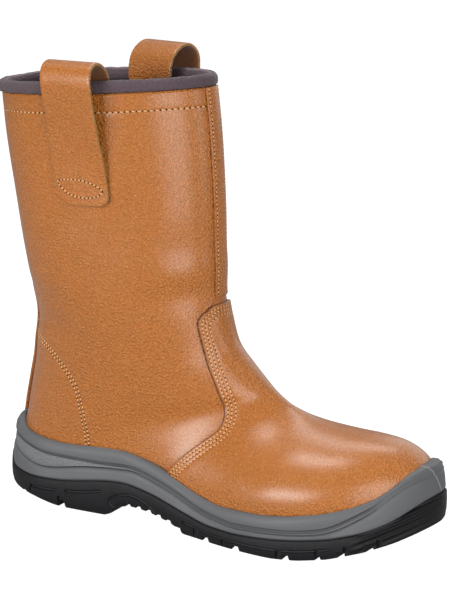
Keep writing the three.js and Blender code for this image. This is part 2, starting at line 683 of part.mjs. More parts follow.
const boot = new THREE.Group();
boot.add(
  meshOf('outsole', makeOutsole(), 'black'),
  meshOf('midsole', makeMidsole(), 'grey'),
  meshOf('insole', makeInsole(), 'board'),
  meshOf('upper', makeUpper(), 'leather'),
  meshOf('vamp', makeVamp(), 'leather'),
  meshOf('back_strip', makeStrip(BACK_STRIP), 'leather'),
  meshOf('front_strip', makeStrip(FRONT_STRIP), 'leather'),
  meshOf('collar_binding', makeBinding(), 'fabric'),
);
for (const loop of PULL_LOOPS) {
  boot.add(meshOf(loop.name, makePullLoop(loop), 'leather'));
}

const box = new THREE.Box3().setFromObject(boot);
const middle = box.getCenter(new THREE.Vector3());
boot.position.set(-middle.x, -middle.y, -box.min.z);

export default boot;
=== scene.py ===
"""Looks of the rigger boot, right foot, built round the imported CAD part.

Charts and shapes are in millimetres, measured as the boot was modelled: x from the back of
the heel to the toe, y towards the inner side, z up. Meshes are in metres, in the row frame.
"""

import math

import bmesh
import bpy
import numpy as np
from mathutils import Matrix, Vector
from mathutils.bvhtree import BVHTree
from mathutils.kdtree import KDTree
from mathutils.noise import noise


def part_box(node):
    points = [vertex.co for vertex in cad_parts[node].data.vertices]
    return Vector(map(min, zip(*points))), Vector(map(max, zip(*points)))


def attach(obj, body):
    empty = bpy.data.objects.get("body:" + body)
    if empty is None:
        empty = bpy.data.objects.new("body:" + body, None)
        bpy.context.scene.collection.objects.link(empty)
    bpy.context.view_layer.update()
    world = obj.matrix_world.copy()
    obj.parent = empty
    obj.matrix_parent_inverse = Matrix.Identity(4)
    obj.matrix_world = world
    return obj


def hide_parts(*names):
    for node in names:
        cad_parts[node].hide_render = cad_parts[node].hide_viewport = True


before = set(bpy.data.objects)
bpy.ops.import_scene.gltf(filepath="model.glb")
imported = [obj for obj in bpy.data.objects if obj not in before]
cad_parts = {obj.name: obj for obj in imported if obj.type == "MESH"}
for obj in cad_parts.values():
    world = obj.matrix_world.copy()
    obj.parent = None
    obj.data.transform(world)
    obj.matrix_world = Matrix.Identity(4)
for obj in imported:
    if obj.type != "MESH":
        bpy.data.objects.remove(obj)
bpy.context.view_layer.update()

bl_info = {
    "name": "Rigger boot looks",
    "version": (1, 0, 0),
    "blender": (4, 5, 0),
    "location": "View3D > Sidebar > Boot",
    "description": "Leather, seams, collar, pull loops and moulded sole of a rigger boot",
    "category": "Object",
}

MM = 0.001
BODY = "root"

# The row frame's place of the modelling origin
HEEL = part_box("outsole")[0]
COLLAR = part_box("collar_binding")
ORIGIN = np.array([HEEL.x, (COLLAR[0].y + COLLAR[1].y) / 2, 0.0])


def chart(columns, *rows):
    """A chart with named columns, as one array a column."""
    return dict(zip(columns.split(), np.array(rows, float).T))


# Sections of the last, from the collar down and forward to the toe
LAST = chart(
    "front_x front_z back_x back_z lateral medial wide front back ridge nose",
    (145, 280, 1, 271, 46, 46, 0.46, 1.8, 2.4, 0, 0),
    (149, 245, 4, 237, 45.5, 45.5, 0.46, 1.8, 2.4, 0, 0),
    (151.5, 205, 9.5, 198, 45, 45, 0.46, 1.8, 2.3, 0, 0),
    (152.5, 170, 14, 168, 44, 44, 0.46, 1.82, 2.25, 0, 0),
    (153, 145, 19, 143, 42.5, 42.5, 0.46, 1.85, 2.2, 0, 0),
    (155, 129, 22.5, 118, 40.5, 40.5, 0.46, 1.88, 2.15, 0.5, 0),
    (160.5, 113, 20.3, 98, 38.5, 38.5, 0.44, 1.9, 2.12, 1, 0),
    (170.5, 100, 15.8, 78, 36.5, 35.5, 0.42, 1.95, 2.1, 2, 0),
    (181.5, 88.5, 11, 55, 35, 33.5, 0.38, 1.95, 2.1, 3, 0),
    (186, 84.3, 9.5, 30, 33.8, 32, 0.34, 1.95, 2.3, 3.5, 0),
    (191, 80.2, 45, 18, 33, 28.5, 0.34, 1.95, 2.8, 4, 0),
    (196.5, 76.5, 90, 14, 33.4, 24.6, 0.34, 1.95, 3, 4.5, 0),
    (204, 73, 135, 9, 38, 26.2, 0.34, 2, 3, 4.5, 0),
    (212, 70, 170, 5, 43.6, 31.6, 0.34, 2.02, 3, 4, 0),
    (223, 67.6, 200, 4, 46.6, 36.1, 0.35, 2.05, 3, 3, 0),
    (239, 65.8, 228, 5, 45.1, 38.1, 0.36, 2.1, 3, 2.5, 0.1),
    (256, 64.9, 250, 7, 39.6, 37.5, 0.38, 2.15, 3, 2.5, 0.25),
    (270, 63, 267, 10, 31.4, 33.4, 0.4, 2.2, 2.8, 3, 0.5),
    (281, 58.4, 279, 14, 22.8, 27.4, 0.42, 2.2, 2.6, 3.5, 0.8),
    (288, 52, 287.5, 19, 14.5, 20.5, 0.45, 2.1, 2.4, 4, 1),
    (292.5, 42, 292.5, 27, 5, 12, 0.5, 2, 2, 4, 1),
)
LAST_END = len(LAST["wide"]) - 1.0
BINDING_HEIGHT = 7.5
GAP = 0.3

# Plan of the sole
OUTLINE = chart(
    "station lateral medial",
    (0, 0, 0), (4, 17.5, 17.5), (15, 30.5, 30.5), (35, 39, 39), (60, 40.5, 39),
    (88, 40, 35.8), (99, 40, 34.3), (120, 41, 32), (150, 46.5, 34.5), (180, 53.5, 41),
    (205, 57, 46), (225, 56.5, 48.5), (250, 50.5, 48), (270, 41, 43), (285, 29.5, 34.5),
    (296, 14.5, 23), (302, -4, 4),
)
# Lines of the sole seen from the side; soft is how far their corners are rounded, and read
# how far in from the outline their height is taken
LINES = {
    "tread": (1.0, 1.0, chart(
        "station height",
        (0, 12), (6, 7.5), (14, 5.4), (24, 4.4), (36, 3), (50, 0.5), (56, 0), (88, 0),
        (93, 2), (99, 7.5), (108, 8.9), (122, 7.9), (136, 5.4), (143, 3.6), (149, 0),
        (215, 0), (232, 0.8), (250, 3.2), (270, 8), (285, 12.9), (302, 20))),
    "black": (5.0, 1.5, chart(
        "station height",
        (0, 34), (3, 29), (7, 21.5), (13, 18.2), (33, 17.4), (56, 18.4), (90, 23.5),
        (104, 24.3), (127, 20.2), (150, 14.4), (166, 11), (189, 10.4), (212, 12.1),
        (232, 13.8), (251, 16.1), (268, 20), (279, 24.5), (287, 29), (293, 34.4), (302, 40))),
    "rim": (5.0, 7.0, chart(
        "station height",
        (0, 51.5), (9, 50.5), (13, 47.5), (20, 45), (36, 43.4), (56, 42.2), (86, 43.8),
        (102, 44), (126, 38.6), (147, 31), (160, 26.8), (176, 23.8), (208, 24.9),
        (229, 27.5), (248, 31.1), (261, 35), (273, 40.2), (280, 45.9), (287, 53),
        (293, 56.5), (302, 56.5))),
    "groove": (5.0, 4.0, chart(
        "station height",
        (0, 44), (12, 41), (22, 38.4), (34, 36), (45, 34.3), (84, 33.8), (109, 35),
        (139, 27.1), (163, 18.7), (187, 15.6), (231, 18.3), (247, 20.9), (257, 25.5),
        (266, 31.5), (273, 35.2), (281, 42), (287, 48), (293, 51.4), (302, 51.4))),
    "band": (5.0, 3.0, chart(
        "station height",
        (0, 36), (10, 32.5), (20, 28.5), (32, 25.4), (43, 24.6), (55, 26.2), (70, 29.2),
        (85, 30.8), (109, 32.5), (139, 24.6), (163, 16.4), (187, 13.4), (231, 16),
        (247, 18.2), (257, 22.2), (266, 27.9), (273, 32.4), (281, 39.4), (287, 45.4),
        (293, 48.8), (302, 48.8))),
    "plate": (1.0, 6.3, chart(
        "station height",
        (0, 14), (60, 11), (92, 13.5), (112, 15), (140, 10.5), (165, 6.2), (215, 6.2),
        (250, 9.4), (280, 17), (302, 26))),
    "seat": (1.0, 9.0, chart(
        "station height",
        (0, 27), (92, 27), (118, 25.5), (145, 19.5), (170, 14), (215, 13.5), (250, 16.4),
        (280, 23.5), (302, 31))),
}

# Side wall of the grey foam from the rim down: a place between two lines, the distance in
# from the outline, and how much deeper the grooves cut there
GREY_WALL = (
    ("rim", "rim", 0, -0.15, 6.6, 0), ("rim", "rim", 0, -0.7, 5.4, 0),
    ("rim", "rim", 0, -1.5, 4.7, 0), ("rim", "rim", 0, -2.6, 4.15, 0),
    ("rim", "groove", 0.4, -0.6, 3.55, 0), ("rim", "groove", 0.7, 0, 3.3, 0),
    ("groove", "groove", 0, 1.3, 3.2, 0), ("groove", "groove", 0, 0.6, 3.2, 0.5),
    ("groove", "groove", 0, 0, 3.1, 1.9), ("groove", "groove", 0, -0.5, 3.05, 1.5),
    ("groove", "groove", 0, -1.1, 3, 0.6), ("groove", "band", 0.5, 0, 2.65, 0.45),
    ("band", "band", 0, 0.85, 2.3, 0.5), ("band", "band", 0, 0.35, 2.3, 0.8),
    ("band", "band", 0, 0, 2.25, 1.5), ("band", "band", 0, -0.45, 2.2, 0.5),
    ("band", "band", 0, -1.1, 2.05, 0), ("band", "black", 0.35, 0, 1.55, 0),
    ("band", "black", 0.7, 0, 1.2, 0), ("black", "black", 0, 1.6, 1.0, 0),
    ("black", "black", 0, 0.9, 1.15, 0), ("black", "black", 0, 0.3, 1.9, 0),
    ("plate", "plate", 0, 0.3, 6.7, 0),
)
# Side wall of the black outsole from the tread up
BLACK_WALL = (
    ("tread", "tread", 0, 0, 3, 0), ("tread", "tread", 0, 0.7, 1.5, 0),
    ("tread", "tread", 0, 2, 0.75, 0), ("tread", "black", 0.35, 0, 0.15, 0),
    ("tread", "black", 0.6, 0, 0, 0), ("black", "black", 0, -1.6, 0.2, 0),
    ("black", "black", 0, -0.6, 0.6, 0), ("black", "black", 0, 0, 1.5, 0),
    ("plate", "plate", 0, 0, 6.3, 0),
)

# Channels right across the tread, channels along it, and the low ribs of the waist
CHANNELS = chart(
    "station width depth turn",
    (32, 4, 3, -12), (56.5, 6, 5, 0), (161.5, 5.5, 4, 8), (184, 6, 4, 8), (222, 5, 4, 4),
    (245, 4, 3.5, 0), (261, 4, 3.5, -4), (278, 4, 3.2, -8),
)
RUNS = chart(
    "start end across width depth",
    (152, 290, -18, 5, 3.6), (152, 290, 16, 5, 3.6), (12, 88, -1, 6, 3),
)
WAIST_RIBS = {"start": 102, "end": 142, "count": 6, "width": 3.4, "height": 2.6}
# Thin grooves on both side faces of the outsole, as paths seen from the side
SIDE_GROOVES = (
    chart("x z", (32, 11), (44, 11.3), (54, 12)),
    chart("x z", (60, 12.4), (73, 13.8), (87, 16.4)),
    chart("x z", (98, 6.6), (93.5, 9), (93, 12), (99, 15.3), (106.5, 17.3), (113, 16.5),
          (121.7, 13.5), (128.6, 9.2)),
    chart("x z", (150, 9), (170, 6.6), (200, 6.2), (230, 7.4), (252, 10.5)),
)
SIDE_GROOVE_RADIUS = 1.1
SIDE_SLOT = {"rise": 3.2, "depth": 1.6}
# Mould's parting line up the toe bumper: y and z of its ends, and its breadth
PARTING_LINE = {"top": (-3.2, 53.7), "foot": (1.5, 42.9), "breadth": 0.9, "from_x": 285}

# Edge of the vamp, seen from the side
VAMP_EDGE = chart(
    "x z",
    (175, 139.5), (153, 139), (149, 136), (146, 132), (145.2, 127), (147.8, 116),
    (151.3, 106), (155.6, 95.5), (159.7, 86), (163, 77), (164, 71), (163.3, 66),
    (160.7, 62), (152.7, 55.3), (141.7, 45.5), (133, 35), (124, 22), (118, 0),
)
# Counter seam on each side of the heel, seen from the side
COUNTER_SEAM = chart(
    "x z",
    (18, 112), (25, 109.5), (33.4, 106.8), (42.6, 103.4), (49.5, 99.3), (56.4, 93.6),
    (62.6, 86.7), (66.9, 79.4), (69.3, 70.4), (71.1, 60), (73, 49), (73.2, 38),
)
STRIPS = {
    "back_strip": {"half": 11, "bottom": 52.5, "thick": 2.4, "middle": math.pi},
    "front_strip": {"half": 7, "bottom": 143.5, "thick": 1.4, "middle": 0.0},
}

# Soft troughs (negative) and ridges of worked leather, seen from the side: side -1 is the
# outer side of the boot, 1 the inner, 0 both
CREASES = chart(
    "side from_x from_z to_x to_z width depth",
    (0, 20, 127, 70, 116, 9, -1.5), (0, 24, 142, 62, 137, 8, -0.9),
    (0, 20, 150, 80, 147, 11, 0.9), (0, 18, 108, 40, 100, 9, 0.6),
    (0, 152, 148, 112, 140, 9, -1.2), (0, 152, 163, 120, 158, 10, 0.9),
    (0, 150, 178, 124, 170, 12, -0.7), (0, 165, 112, 140, 96, 11, -0.9),
    (-1, 118, 225, 96, 165, 15, -1.2), (-1, 70, 190, 60, 150, 18, 1.0),
    (1, 112, 215, 100, 165, 16, -1.1), (1, 66, 200, 58, 150, 18, 0.9),
    (0, 208, 72, 184, 44, 14, -1.0), (0, 190, 78, 172, 60, 12, 0.5),
)

# Pull loops: run is the strap's middle line in the plane square to the boot's side, how far
# out from the leather, how high, and how closely its breadth follows the boot's side
STRAP_WIDTH = 36.5
STRAP_THICK = 2.2
EYE = {"half_width": 0.42, "half_height": 4.4, "above_end": 9.6, "tilt": 3.2}
PULL_LOOPS = {
    "pull_loop_lateral": {
        "side": -1, "top_x": 75, "bottom_x": 80, "turn": -3,
        "run": chart(
            "out z follow",
            (1.5, 203, 1), (1.6, 214, 1), (2.4, 228, 0.6), (4.6, 246, 0), (7, 262, 0),
            (8.6, 275, 0), (6.6, 283.5, 0), (1, 287, 0), (-5, 285.6, 0), (-9.6, 280, 0.1),
            (-11, 271, 0.4), (-9.6, 260, 0.8), (-5.8, 246, 1), (-4.6, 230, 1)),
    },
    "pull_loop_medial": {
        "side": 1, "top_x": 88, "bottom_x": 86, "turn": -15,
        "run": chart(
            "out z follow",
            (1.5, 203, 1), (1.6, 214, 1), (2.6, 228, 0.6), (5, 246, 0), (8.4, 262, 0),
            (10.6, 275, 0), (9.6, 285.5, 0), (3, 291.4, 0), (-5, 290.4, 0), (-12, 283.5, 0),
            (-14, 271, 0.1), (-11.4, 260, 0.6), (-6.2, 246, 1), (-4.6, 230, 1)),
    },
}
# Section of the collar's roll: out from the last, and below its crest
ROLL = chart(
    "out drop",
    (1.5, 7), (1.9, 4.6), (1.5, 2), (0, 0.3), (-2, 0), (-4, 0.8), (-5.2, 3), (-5.4, 5.4),
    (-4.8, 7.2), (-1.6, BINDING_HEIGHT),
)


# Curves and charts
def hermite(a, b, c, d, t):
    """A smooth value between b and c, t from 0 to 1, with a and d as their neighbours."""
    slope_in, slope_out = (c - a) / 2, (d - b) / 2
    t2, t3 = t * t, t * t * t
    return ((2 * t3 - 3 * t2 + 1) * b + (t3 - 2 * t2 + t) * slope_in
            + (3 * t2 - 2 * t3) * c + (t3 - t2) * slope_out)


def column_at(values, place):
    """A column's smooth value at a place counted in rows."""
    last = len(values) - 1
    low = np.clip(np.floor(place).astype(int), 0, last - 1)
    around = [values[np.clip(low + k, 0, last)] for k in (-1, 0, 1, 2)]
    return hermite(*around, place - low)


def closed_curve(values, steps):
    """A closed smooth curve through values, steps points for each of them."""
    values = np.asarray(values, float)
    t = (np.arange(steps) / steps)[None, :]
    around = [np.roll(values, k)[:, None] for k in (1, 0, -1, -2)]
    return hermite(*around, t).ravel()


def fine_path(x, z, spacing):
    """A path in the side view, smooth through its points, at an even spacing."""
    place = np.linspace(0, len(x) - 1, 40 * len(x))
    px, pz = column_at(x, place), column_at(z, place)
    walked = np.concatenate([[0], np.cumsum(np.hypot(np.diff(px), np.diff(pz)))])
    even = np.linspace(0, walked[-1], max(int(walked[-1] / spacing), 2))
    return np.interp(even, walked, px), np.interp(even, walked, pz)


def line_height(name, station):
    """Height of one of the sole's lines, its corners rounded a little."""
    soft, _, rows = LINES[name]
    total = 0
    for shift, share in ((-1, 0.25), (0, 0.5), (1, 0.25)):
        total = total + share * np.interp(station + shift * soft, rows["station"], rows["height"])
    return total


def fade(value, start, end):
    """0 before start, 1 after end, smooth between."""
    t = np.clip((value - start) / (end - start), 0, 1)
    return t * t * (3 - 2 * t)


# The last's surface
def last_point(place, angle, out):
    """Points of the last's surface, moved out by a distance. Angle 0 is the front, and
    turns towards the outer side; pi is the back."""
    row = {name: column_at(values, place) for name, values in LAST.items()}
    span_x, span_z = row["front_x"] - row["back_x"], row["front_z"] - row["back_z"]
    span = np.hypot(span_x, span_z)
    along_x, along_z = span_x / span, span_z / span
    centre_x = row["back_x"] + along_x * span * row["wide"] + out * row["nose"]
    centre_z = row["back_z"] + along_z * span * row["wide"]
    middle = (row["medial"] - row["lateral"]) / 2
    half = (row["medial"] + row["lateral"]) / 2 + out
    c, s = np.cos(angle), np.sin(angle)
    front = c > 0
    reach = span * np.where(front, 1 - row["wide"], row["wide"]) + out
    power = np.where(front, row["front"], row["back"])
    forward = np.sign(c) * np.abs(c) ** (2 / power)
    sideways = -np.sign(s) * np.abs(s) ** (2 / power)
    swing = np.where(front, (row["ridge"] - middle) * forward ** 2, 0)
    return np.stack([
        centre_x + along_x * reach * forward,
        middle + swing + half * sideways,
        centre_z + along_z * reach * forward,
    ], axis=-1)


def last_normal(place, angle):
    """Outward direction of the last's surface."""
    step = 1e-3
    angle = np.where(np.abs(np.sin(angle)) < 2 * step, angle + 3 * step, angle)
    place = np.clip(place, step, LAST_END - step)
    round_about = last_point(place, angle + step, 0) - last_point(place, angle - step, 0)
    down = last_point(place + step, angle, 0) - last_point(place - step, angle, 0)
    normal = np.cross(down, round_about)
    return normal / np.maximum(np.linalg.norm(normal, axis=-1, keepdims=True), 1e-9)


def crease_relief(points):
    """How far worked leather stands in or out at points, from the chart of creases."""
    x, y, z = points[:, 0], points[:, 1], points[:, 2]
    total = np.zeros(len(points))
    for side, fx, fz, tx, tz, width, depth in zip(*CREASES.values()):
        dx, dz = tx - fx, tz - fz
        t = np.clip(((x - fx) * dx + (z - fz) * dz) / (dx * dx + dz * dz), 0, 1)
        away = np.hypot(x - fx - t * dx, z - fz - t * dz)
        ends = 1 - 0.75 * np.abs(2 * t - 1) ** 2
        trough = depth * np.exp(-(away / width) ** 2) * ends
        if side:
            trough = trough * fade(side * y, -6, 6)
        total += trough
    return total


def skin_point(spots, out):
    """Points on the boot's leather at spots (place, angle), creases included."""
    base = last_point(spots[:, 0], spots[:, 1], 0)
    return last_point(spots[:, 0], spots[:, 1], out + crease_relief(base))


# Sheets of triangles, cut and scored along level lines
def grid_sheet(first, final, from_angle, to_angle, spacing, around):
    """Spots and triangles of a grid on the last, its rows about spacing apart."""
    places = []
    for low in range(int(first), int(math.ceil(final))):
        moves = [math.hypot(LAST[f"{end}_x"][low + 1] - LAST[f"{end}_x"][low],
                            LAST[f"{end}_z"][low + 1] - LAST[f"{end}_z"][low]) * share
                 for end, share in (("front", 1.0), ("back", 0.55))]
        steps = max(int(math.ceil(max(moves) / spacing)), 2)
        places += [low + k / steps for k in range(steps)]
    places = np.array([p for p in places if first <= p < final] + [final])
    angles = np.linspace(from_angle, to_angle, around + 1)
    p, a = np.meshgrid(places, angles, indexing="ij")
    spots = np.stack([p.ravel(), a.ravel()], axis=1)
    index = np.arange(len(spots)).reshape(p.shape)
    i, j, k, m = index[:-1, :-1], index[:-1, 1:], index[1:, 1:], index[1:, :-1]
    tris = np.concatenate([np.stack([i, j, k], -1).reshape(-1, 3),
                           np.stack([i, k, m], -1).reshape(-1, 3)])
    return spots, tris[:, ::-1]


def score(spots, tris, level, near=0.03):
    """Adds corners where level passes zero. Gives spots, triangles and the longer level."""
    sign = np.where(np.abs(level) < near, 0, np.sign(level)).astype(int)
    signs = sign[tris]
    crossing = (signs.min(axis=1) < 0) & (signs.max(axis=1) > 0)
    kept = [tris[~crossing]]
    added, known, pieces = [], {}, []
    for tri in tris[crossing].tolist():
        ring = []
        for a, b in zip(tri, tri[1:] + tri[:1]):
            ring.append(a)
            if sign[a] * sign[b] < 0:
                key = (min(a, b), max(a, b))
                if key not in known:
                    share = level[key[0]] / (level[key[0]] - level[key[1]])
                    known[key] = len(spots) + len(added)
                    added.append(spots[key[0]] + (spots[key[1]] - spots[key[0]]) * share)
                ring.append(known[key])
        i, j = [n for n, v in enumerate(ring) if v >= len(spots) or sign[v] == 0]
        for part in (ring[i:j + 1], ring[j:] + ring[:i + 1]):
            pieces += [(part[0], part[n], part[n + 1]) for n in range(1, len(part) - 1)]
    if not added:
        return spots, tris, np.where(sign == 0, 0, level)
    kept.append(np.array(pieces))
    level = np.concatenate([np.where(sign == 0, 0, level), np.zeros(len(added))])
    return np.concatenate([spots, np.array(added)]), np.concatenate(kept), level


def keep(spots, tris, level):
    """Cuts a sheet along level zero and keeps the side above it."""
    spots, tris, level = score(spots, tris, level)
    tris = tris[level[tris].max(axis=1) > 0]
    tris = tris[level[tris].min(axis=1) >= 0]
    used = np.unique(tris)
    renumber = np.full(len(spots), -1)
    renumber[used] = np.arange(len(used))
    return spots[used], renumber[tris]


def border(tris):
    """Directed edges that only one triangle has."""
    edges = np.concatenate([tris[:, [0, 1]], tris[:, [1, 2]], tris[:, [2, 0]]])
    keys = np.sort(edges, axis=1)
    _, first, counts = np.unique(keys, axis=0, return_index=True, return_counts=True)
    return edges[first[counts == 1]]


def chains(edges):
    """Joins edges end to end into paths of corner numbers."""
    links = {}
    for a, b in edges:
        links.setdefault(int(a), []).append(int(b))
        links.setdefault(int(b), []).append(int(a))
    found = []
    ends = [v for v, near in links.items() if len(near) == 1]
    for start in ends + list(links):
        if not links.get(start):
            continue
        path = [start]
        while links.get(path[-1]):
            after = links[path[-1]].pop()
            links[after].remove(path[-1])
            path.append(after)
        found.append(path)
    return found


def level_paths(spots, tris, level, shortest=12):
    """Paths of spots along level zero of a scored sheet, long ones only."""
    zero = np.abs(level) < 1e-9
    edges = np.concatenate([tris[:, [0, 1]], tris[:, [1, 2]], tris[:, [2, 0]]])
    edges = np.unique(np.sort(edges[zero[edges].all(axis=1)], axis=1), axis=0)
    paths = [spots[path] for path in chains(edges)]
    return [p for p in paths if path_length(skin_point(p, 0)) > shortest]


def path_length(points):
    return np.linalg.norm(np.diff(points, axis=0), axis=1).sum()


def distance_to(points, path):
    """Distance of each point from the nearest point of a dense path."""
    tree = KDTree(len(path))
    for i, p in enumerate(path):
        tree.insert(p, i)
    tree.balance()
    return np.array([tree.find(p)[2] for p in points])


def dense(points, spacing=0.25):
    """A path's points at a close, even spacing."""
    walked = np.concatenate([[0], np.cumsum(np.linalg.norm(np.diff(points, axis=0), axis=1))])
    even = np.linspace(0, walked[-1], max(int(walked[-1] / spacing), 2))
    return np.stack([np.interp(even, walked, points[:, k]) for k in range(3)], axis=1)


# Meshes
def to_row(points):
    """Modelling millimetres to the row frame's metres."""
    return np.asarray(points, float) * MM + ORIGIN


def new_piece(name, points, faces, attributes=None, smooth=True, merge=0.0):
    """A mesh object from points in modelling millimetres."""
    mesh = bpy.data.meshes.new(name)
    mesh.from_pydata(to_row(points).tolist(), [], [list(map(int, f)) for f in faces])
    for key, values in (attributes or {}).items():
        layer = mesh.attributes.new(key, "FLOAT", "POINT")
        layer.data.foreach_set("value", np.asarray(values, np.float32))
    if merge:
        face_outwards(mesh, merge)
    mesh.polygons.foreach_set("use_smooth", [smooth] * len(mesh.polygons))
    piece = bpy.data.objects.new(name, mesh)
    bpy.context.scene.collection.objects.link(piece)
    return piece


def finish_piece(piece, slot, *replaced):
    """Says what a piece rides on and hides the CAD nodes it stands for; slot is not used."""
    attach(piece, BODY)
    if replaced:
        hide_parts(*replaced)


def wall_of(spots, tris, outer, inner):
    """Points and faces of a closed wall between two surfaces with the same corners."""
    count = len(spots)
    rim = border(tris)
    sides = np.concatenate([
        np.stack([rim[:, 1], rim[:, 0], rim[:, 0] + count], axis=1),
        np.stack([rim[:, 1], rim[:, 0] + count, rim[:, 1] + count], axis=1),
    ])
    faces = np.concatenate([tris, tris[:, ::-1] + count, sides])
    return np.concatenate([outer, inner]), faces


def face_outwards(mesh, merge=0.0):
    """Merges near corners if asked, and turns a closed mesh's faces outwards."""
    shape = bmesh.new()
    shape.from_mesh(mesh)
    if merge:
        bmesh.ops.remove_doubles(shape, verts=shape.verts, dist=merge * MM)
    bmesh.ops.recalc_face_normals(shape, faces=shape.faces)
    shape.to_mesh(mesh)
    shape.free()


def ring_faces(rings, count, closed=False):
    """Quads between rings of equal count."""
    faces = []
    for j in range(rings if closed else rings - 1):
        low, high = j * count, ((j + 1) % rings) * count
        for i in range(count):
            n = (i + 1) % count
            faces.append((low + i, low + n, high + n, high + i))
    return faces


def set_materials(piece, *materials):
    piece.data.materials.clear()
    for material in materials:
        piece.data.materials.append(material)


def as_plain_mesh(piece):
    """The piece with its modifiers applied and removed."""
    graph = bpy.context.evaluated_depsgraph_get()
    made = bpy.data.meshes.new_from_object(piece.evaluated_get(graph))
    piece.modifiers.clear()
    piece.data = made


# Seams: beads along a path, as thread, or as dark beads of painted shade where the needle holes are
def new_socket(tree, name, kind, value=None, direction="INPUT"):
    socket = tree.interface.new_socket(name=name, in_out=direction, socket_type=kind)
    if value is not None:
        socket.default_value = value
    return socket


def seam_tree():
    """Geometry nodes that lay small beads along a seam, square to the leather."""
    tree = bpy.data.node_groups.new("Beads along a seam", "GeometryNodeTree")
    new_socket(tree, "Geometry", "NodeSocketGeometry", direction="OUTPUT")
    new_socket(tree, "Seam", "NodeSocketGeometry")
    for name, value in (("Pitch", 0.0026), ("Start", 0.0), ("Length", 0.0019),
                        ("Width", 0.0008), ("Height", 0.0006), ("Turn", 0.0)):
        new_socket(tree, name, "NodeSocketFloat", value)
    new_socket(tree, "Seed", "NodeSocketInt", 5)
    new_socket(tree, "Material", "NodeSocketMaterial")

    def add(kind, *inputs, **settings):
        """The outputs of a new node; each input is a socket's name or place, and what it gets."""
        node = tree.nodes.new(kind)
        for key, value in settings.items():
            setattr(node, key, value)
        for key, value in inputs:
            if isinstance(value, bpy.types.NodeSocket):
                tree.links.new(value, node.inputs[key])
            else:
                node.inputs[key].default_value = value
        return node.outputs

    given = tree.nodes.new("NodeGroupInput").outputs
    curve = add("GeometryNodeMeshToCurve", ("Mesh", given["Seam"]))
    whole = add("GeometryNodeSplineLength")
    end = add("ShaderNodeMath", (0, whole["Length"]), (1, given["Start"]), operation="SUBTRACT")
    # A trim node's last two sockets are its start and end as lengths
    trimmed = add("GeometryNodeTrimCurve", ("Curve", curve["Curve"]), (-2, given["Start"]),
                  (-1, end[0]), mode="LENGTH")
    spacing = add("ShaderNodeMath", (0, given["Pitch"]), (1, 0.999), operation="MULTIPLY")
    even = add("GeometryNodeResampleCurve", ("Curve", trimmed["Curve"]), ("Length", spacing[0]),
               mode="LENGTH")
    bead = add("GeometryNodeMeshUVSphere", ("Segments", 8), ("Rings", 5), ("Radius", 0.5))
    tangent = add("GeometryNodeInputTangent")
    square = add("GeometryNodeInputNamedAttribute", ("Name", "leather_normal"),
                 data_type="FLOAT_VECTOR")
    along = add("FunctionNodeAlignRotationToVector", ("Vector", tangent["Tangent"]), axis="X")
    upright = add("FunctionNodeAlignRotationToVector", ("Rotation", along["Rotation"]),
                  ("Vector", square["Attribute"]), axis="Z", pivot_axis="X")
    turn = add("ShaderNodeCombineXYZ", ("Z", given["Turn"]))
    skew = add("FunctionNodeRotateRotation", ("Rotation", upright["Rotation"]),
               ("Rotate By", turn["Vector"]), rotation_space="LOCAL")
    # A random node's sockets 2 and 3 are the least and the most of a plain number
    wander = add("FunctionNodeRandomValue", (2, 0.88), (3, 1.08), ("Seed", given["Seed"]))
    size = add("ShaderNodeCombineXYZ", ("X", given["Length"]), ("Y", given["Width"]),
               ("Z", given["Height"]))
    varied = add("ShaderNodeVectorMath", (0, size["Vector"]), ("Scale", wander[1]),
                 operation="SCALE")
    place = add("GeometryNodeInstanceOnPoints", ("Points", even["Curve"]),
                ("Instance", bead["Mesh"]), ("Rotation", skew["Rotation"]),
                ("Scale", varied["Vector"]))
    real = add("GeometryNodeRealizeInstances", ("Geometry", place["Instances"]))
    painted = add("GeometryNodeSetMaterial", ("Geometry", real["Geometry"]),
                  ("Material", given["Material"]))
    add("NodeGroupOutput", ("Geometry", painted["Geometry"]))
    return tree


def even_points(path, outward, length, spacing=0.6):
    """Points and directions at even steps over the first part of a path."""
    walked = np.concatenate([[0], np.cumsum(np.linalg.norm(np.diff(path, axis=0), axis=1))])
    even = np.linspace(0, min(length, walked[-1]), max(int(length / spacing), 2))
    return [np.stack([np.interp(even, walked, values[:, k]) for k in range(3)], axis=1)
            for values in (path, outward)]


def whole_stitches(path, outward, pitch):
    """A seam ended so that a whole number of stitches fits."""
    for _ in range(3):
        path, outward = even_points(path, outward, path_length(path))
        middles = (path[:-2] + 2 * path[1:-1] + path[2:]) / 4
        path = np.concatenate([path[:1], middles, path[-1:]])
    length = math.floor(path_length(path) / pitch) * pitch
    path, outward = even_points(path, outward, length)
    path = path[0] + (path - path[0]) * (length / max(path_length(path), 1e-6))
    return path, outward / np.linalg.norm(outward, axis=1, keepdims=True)


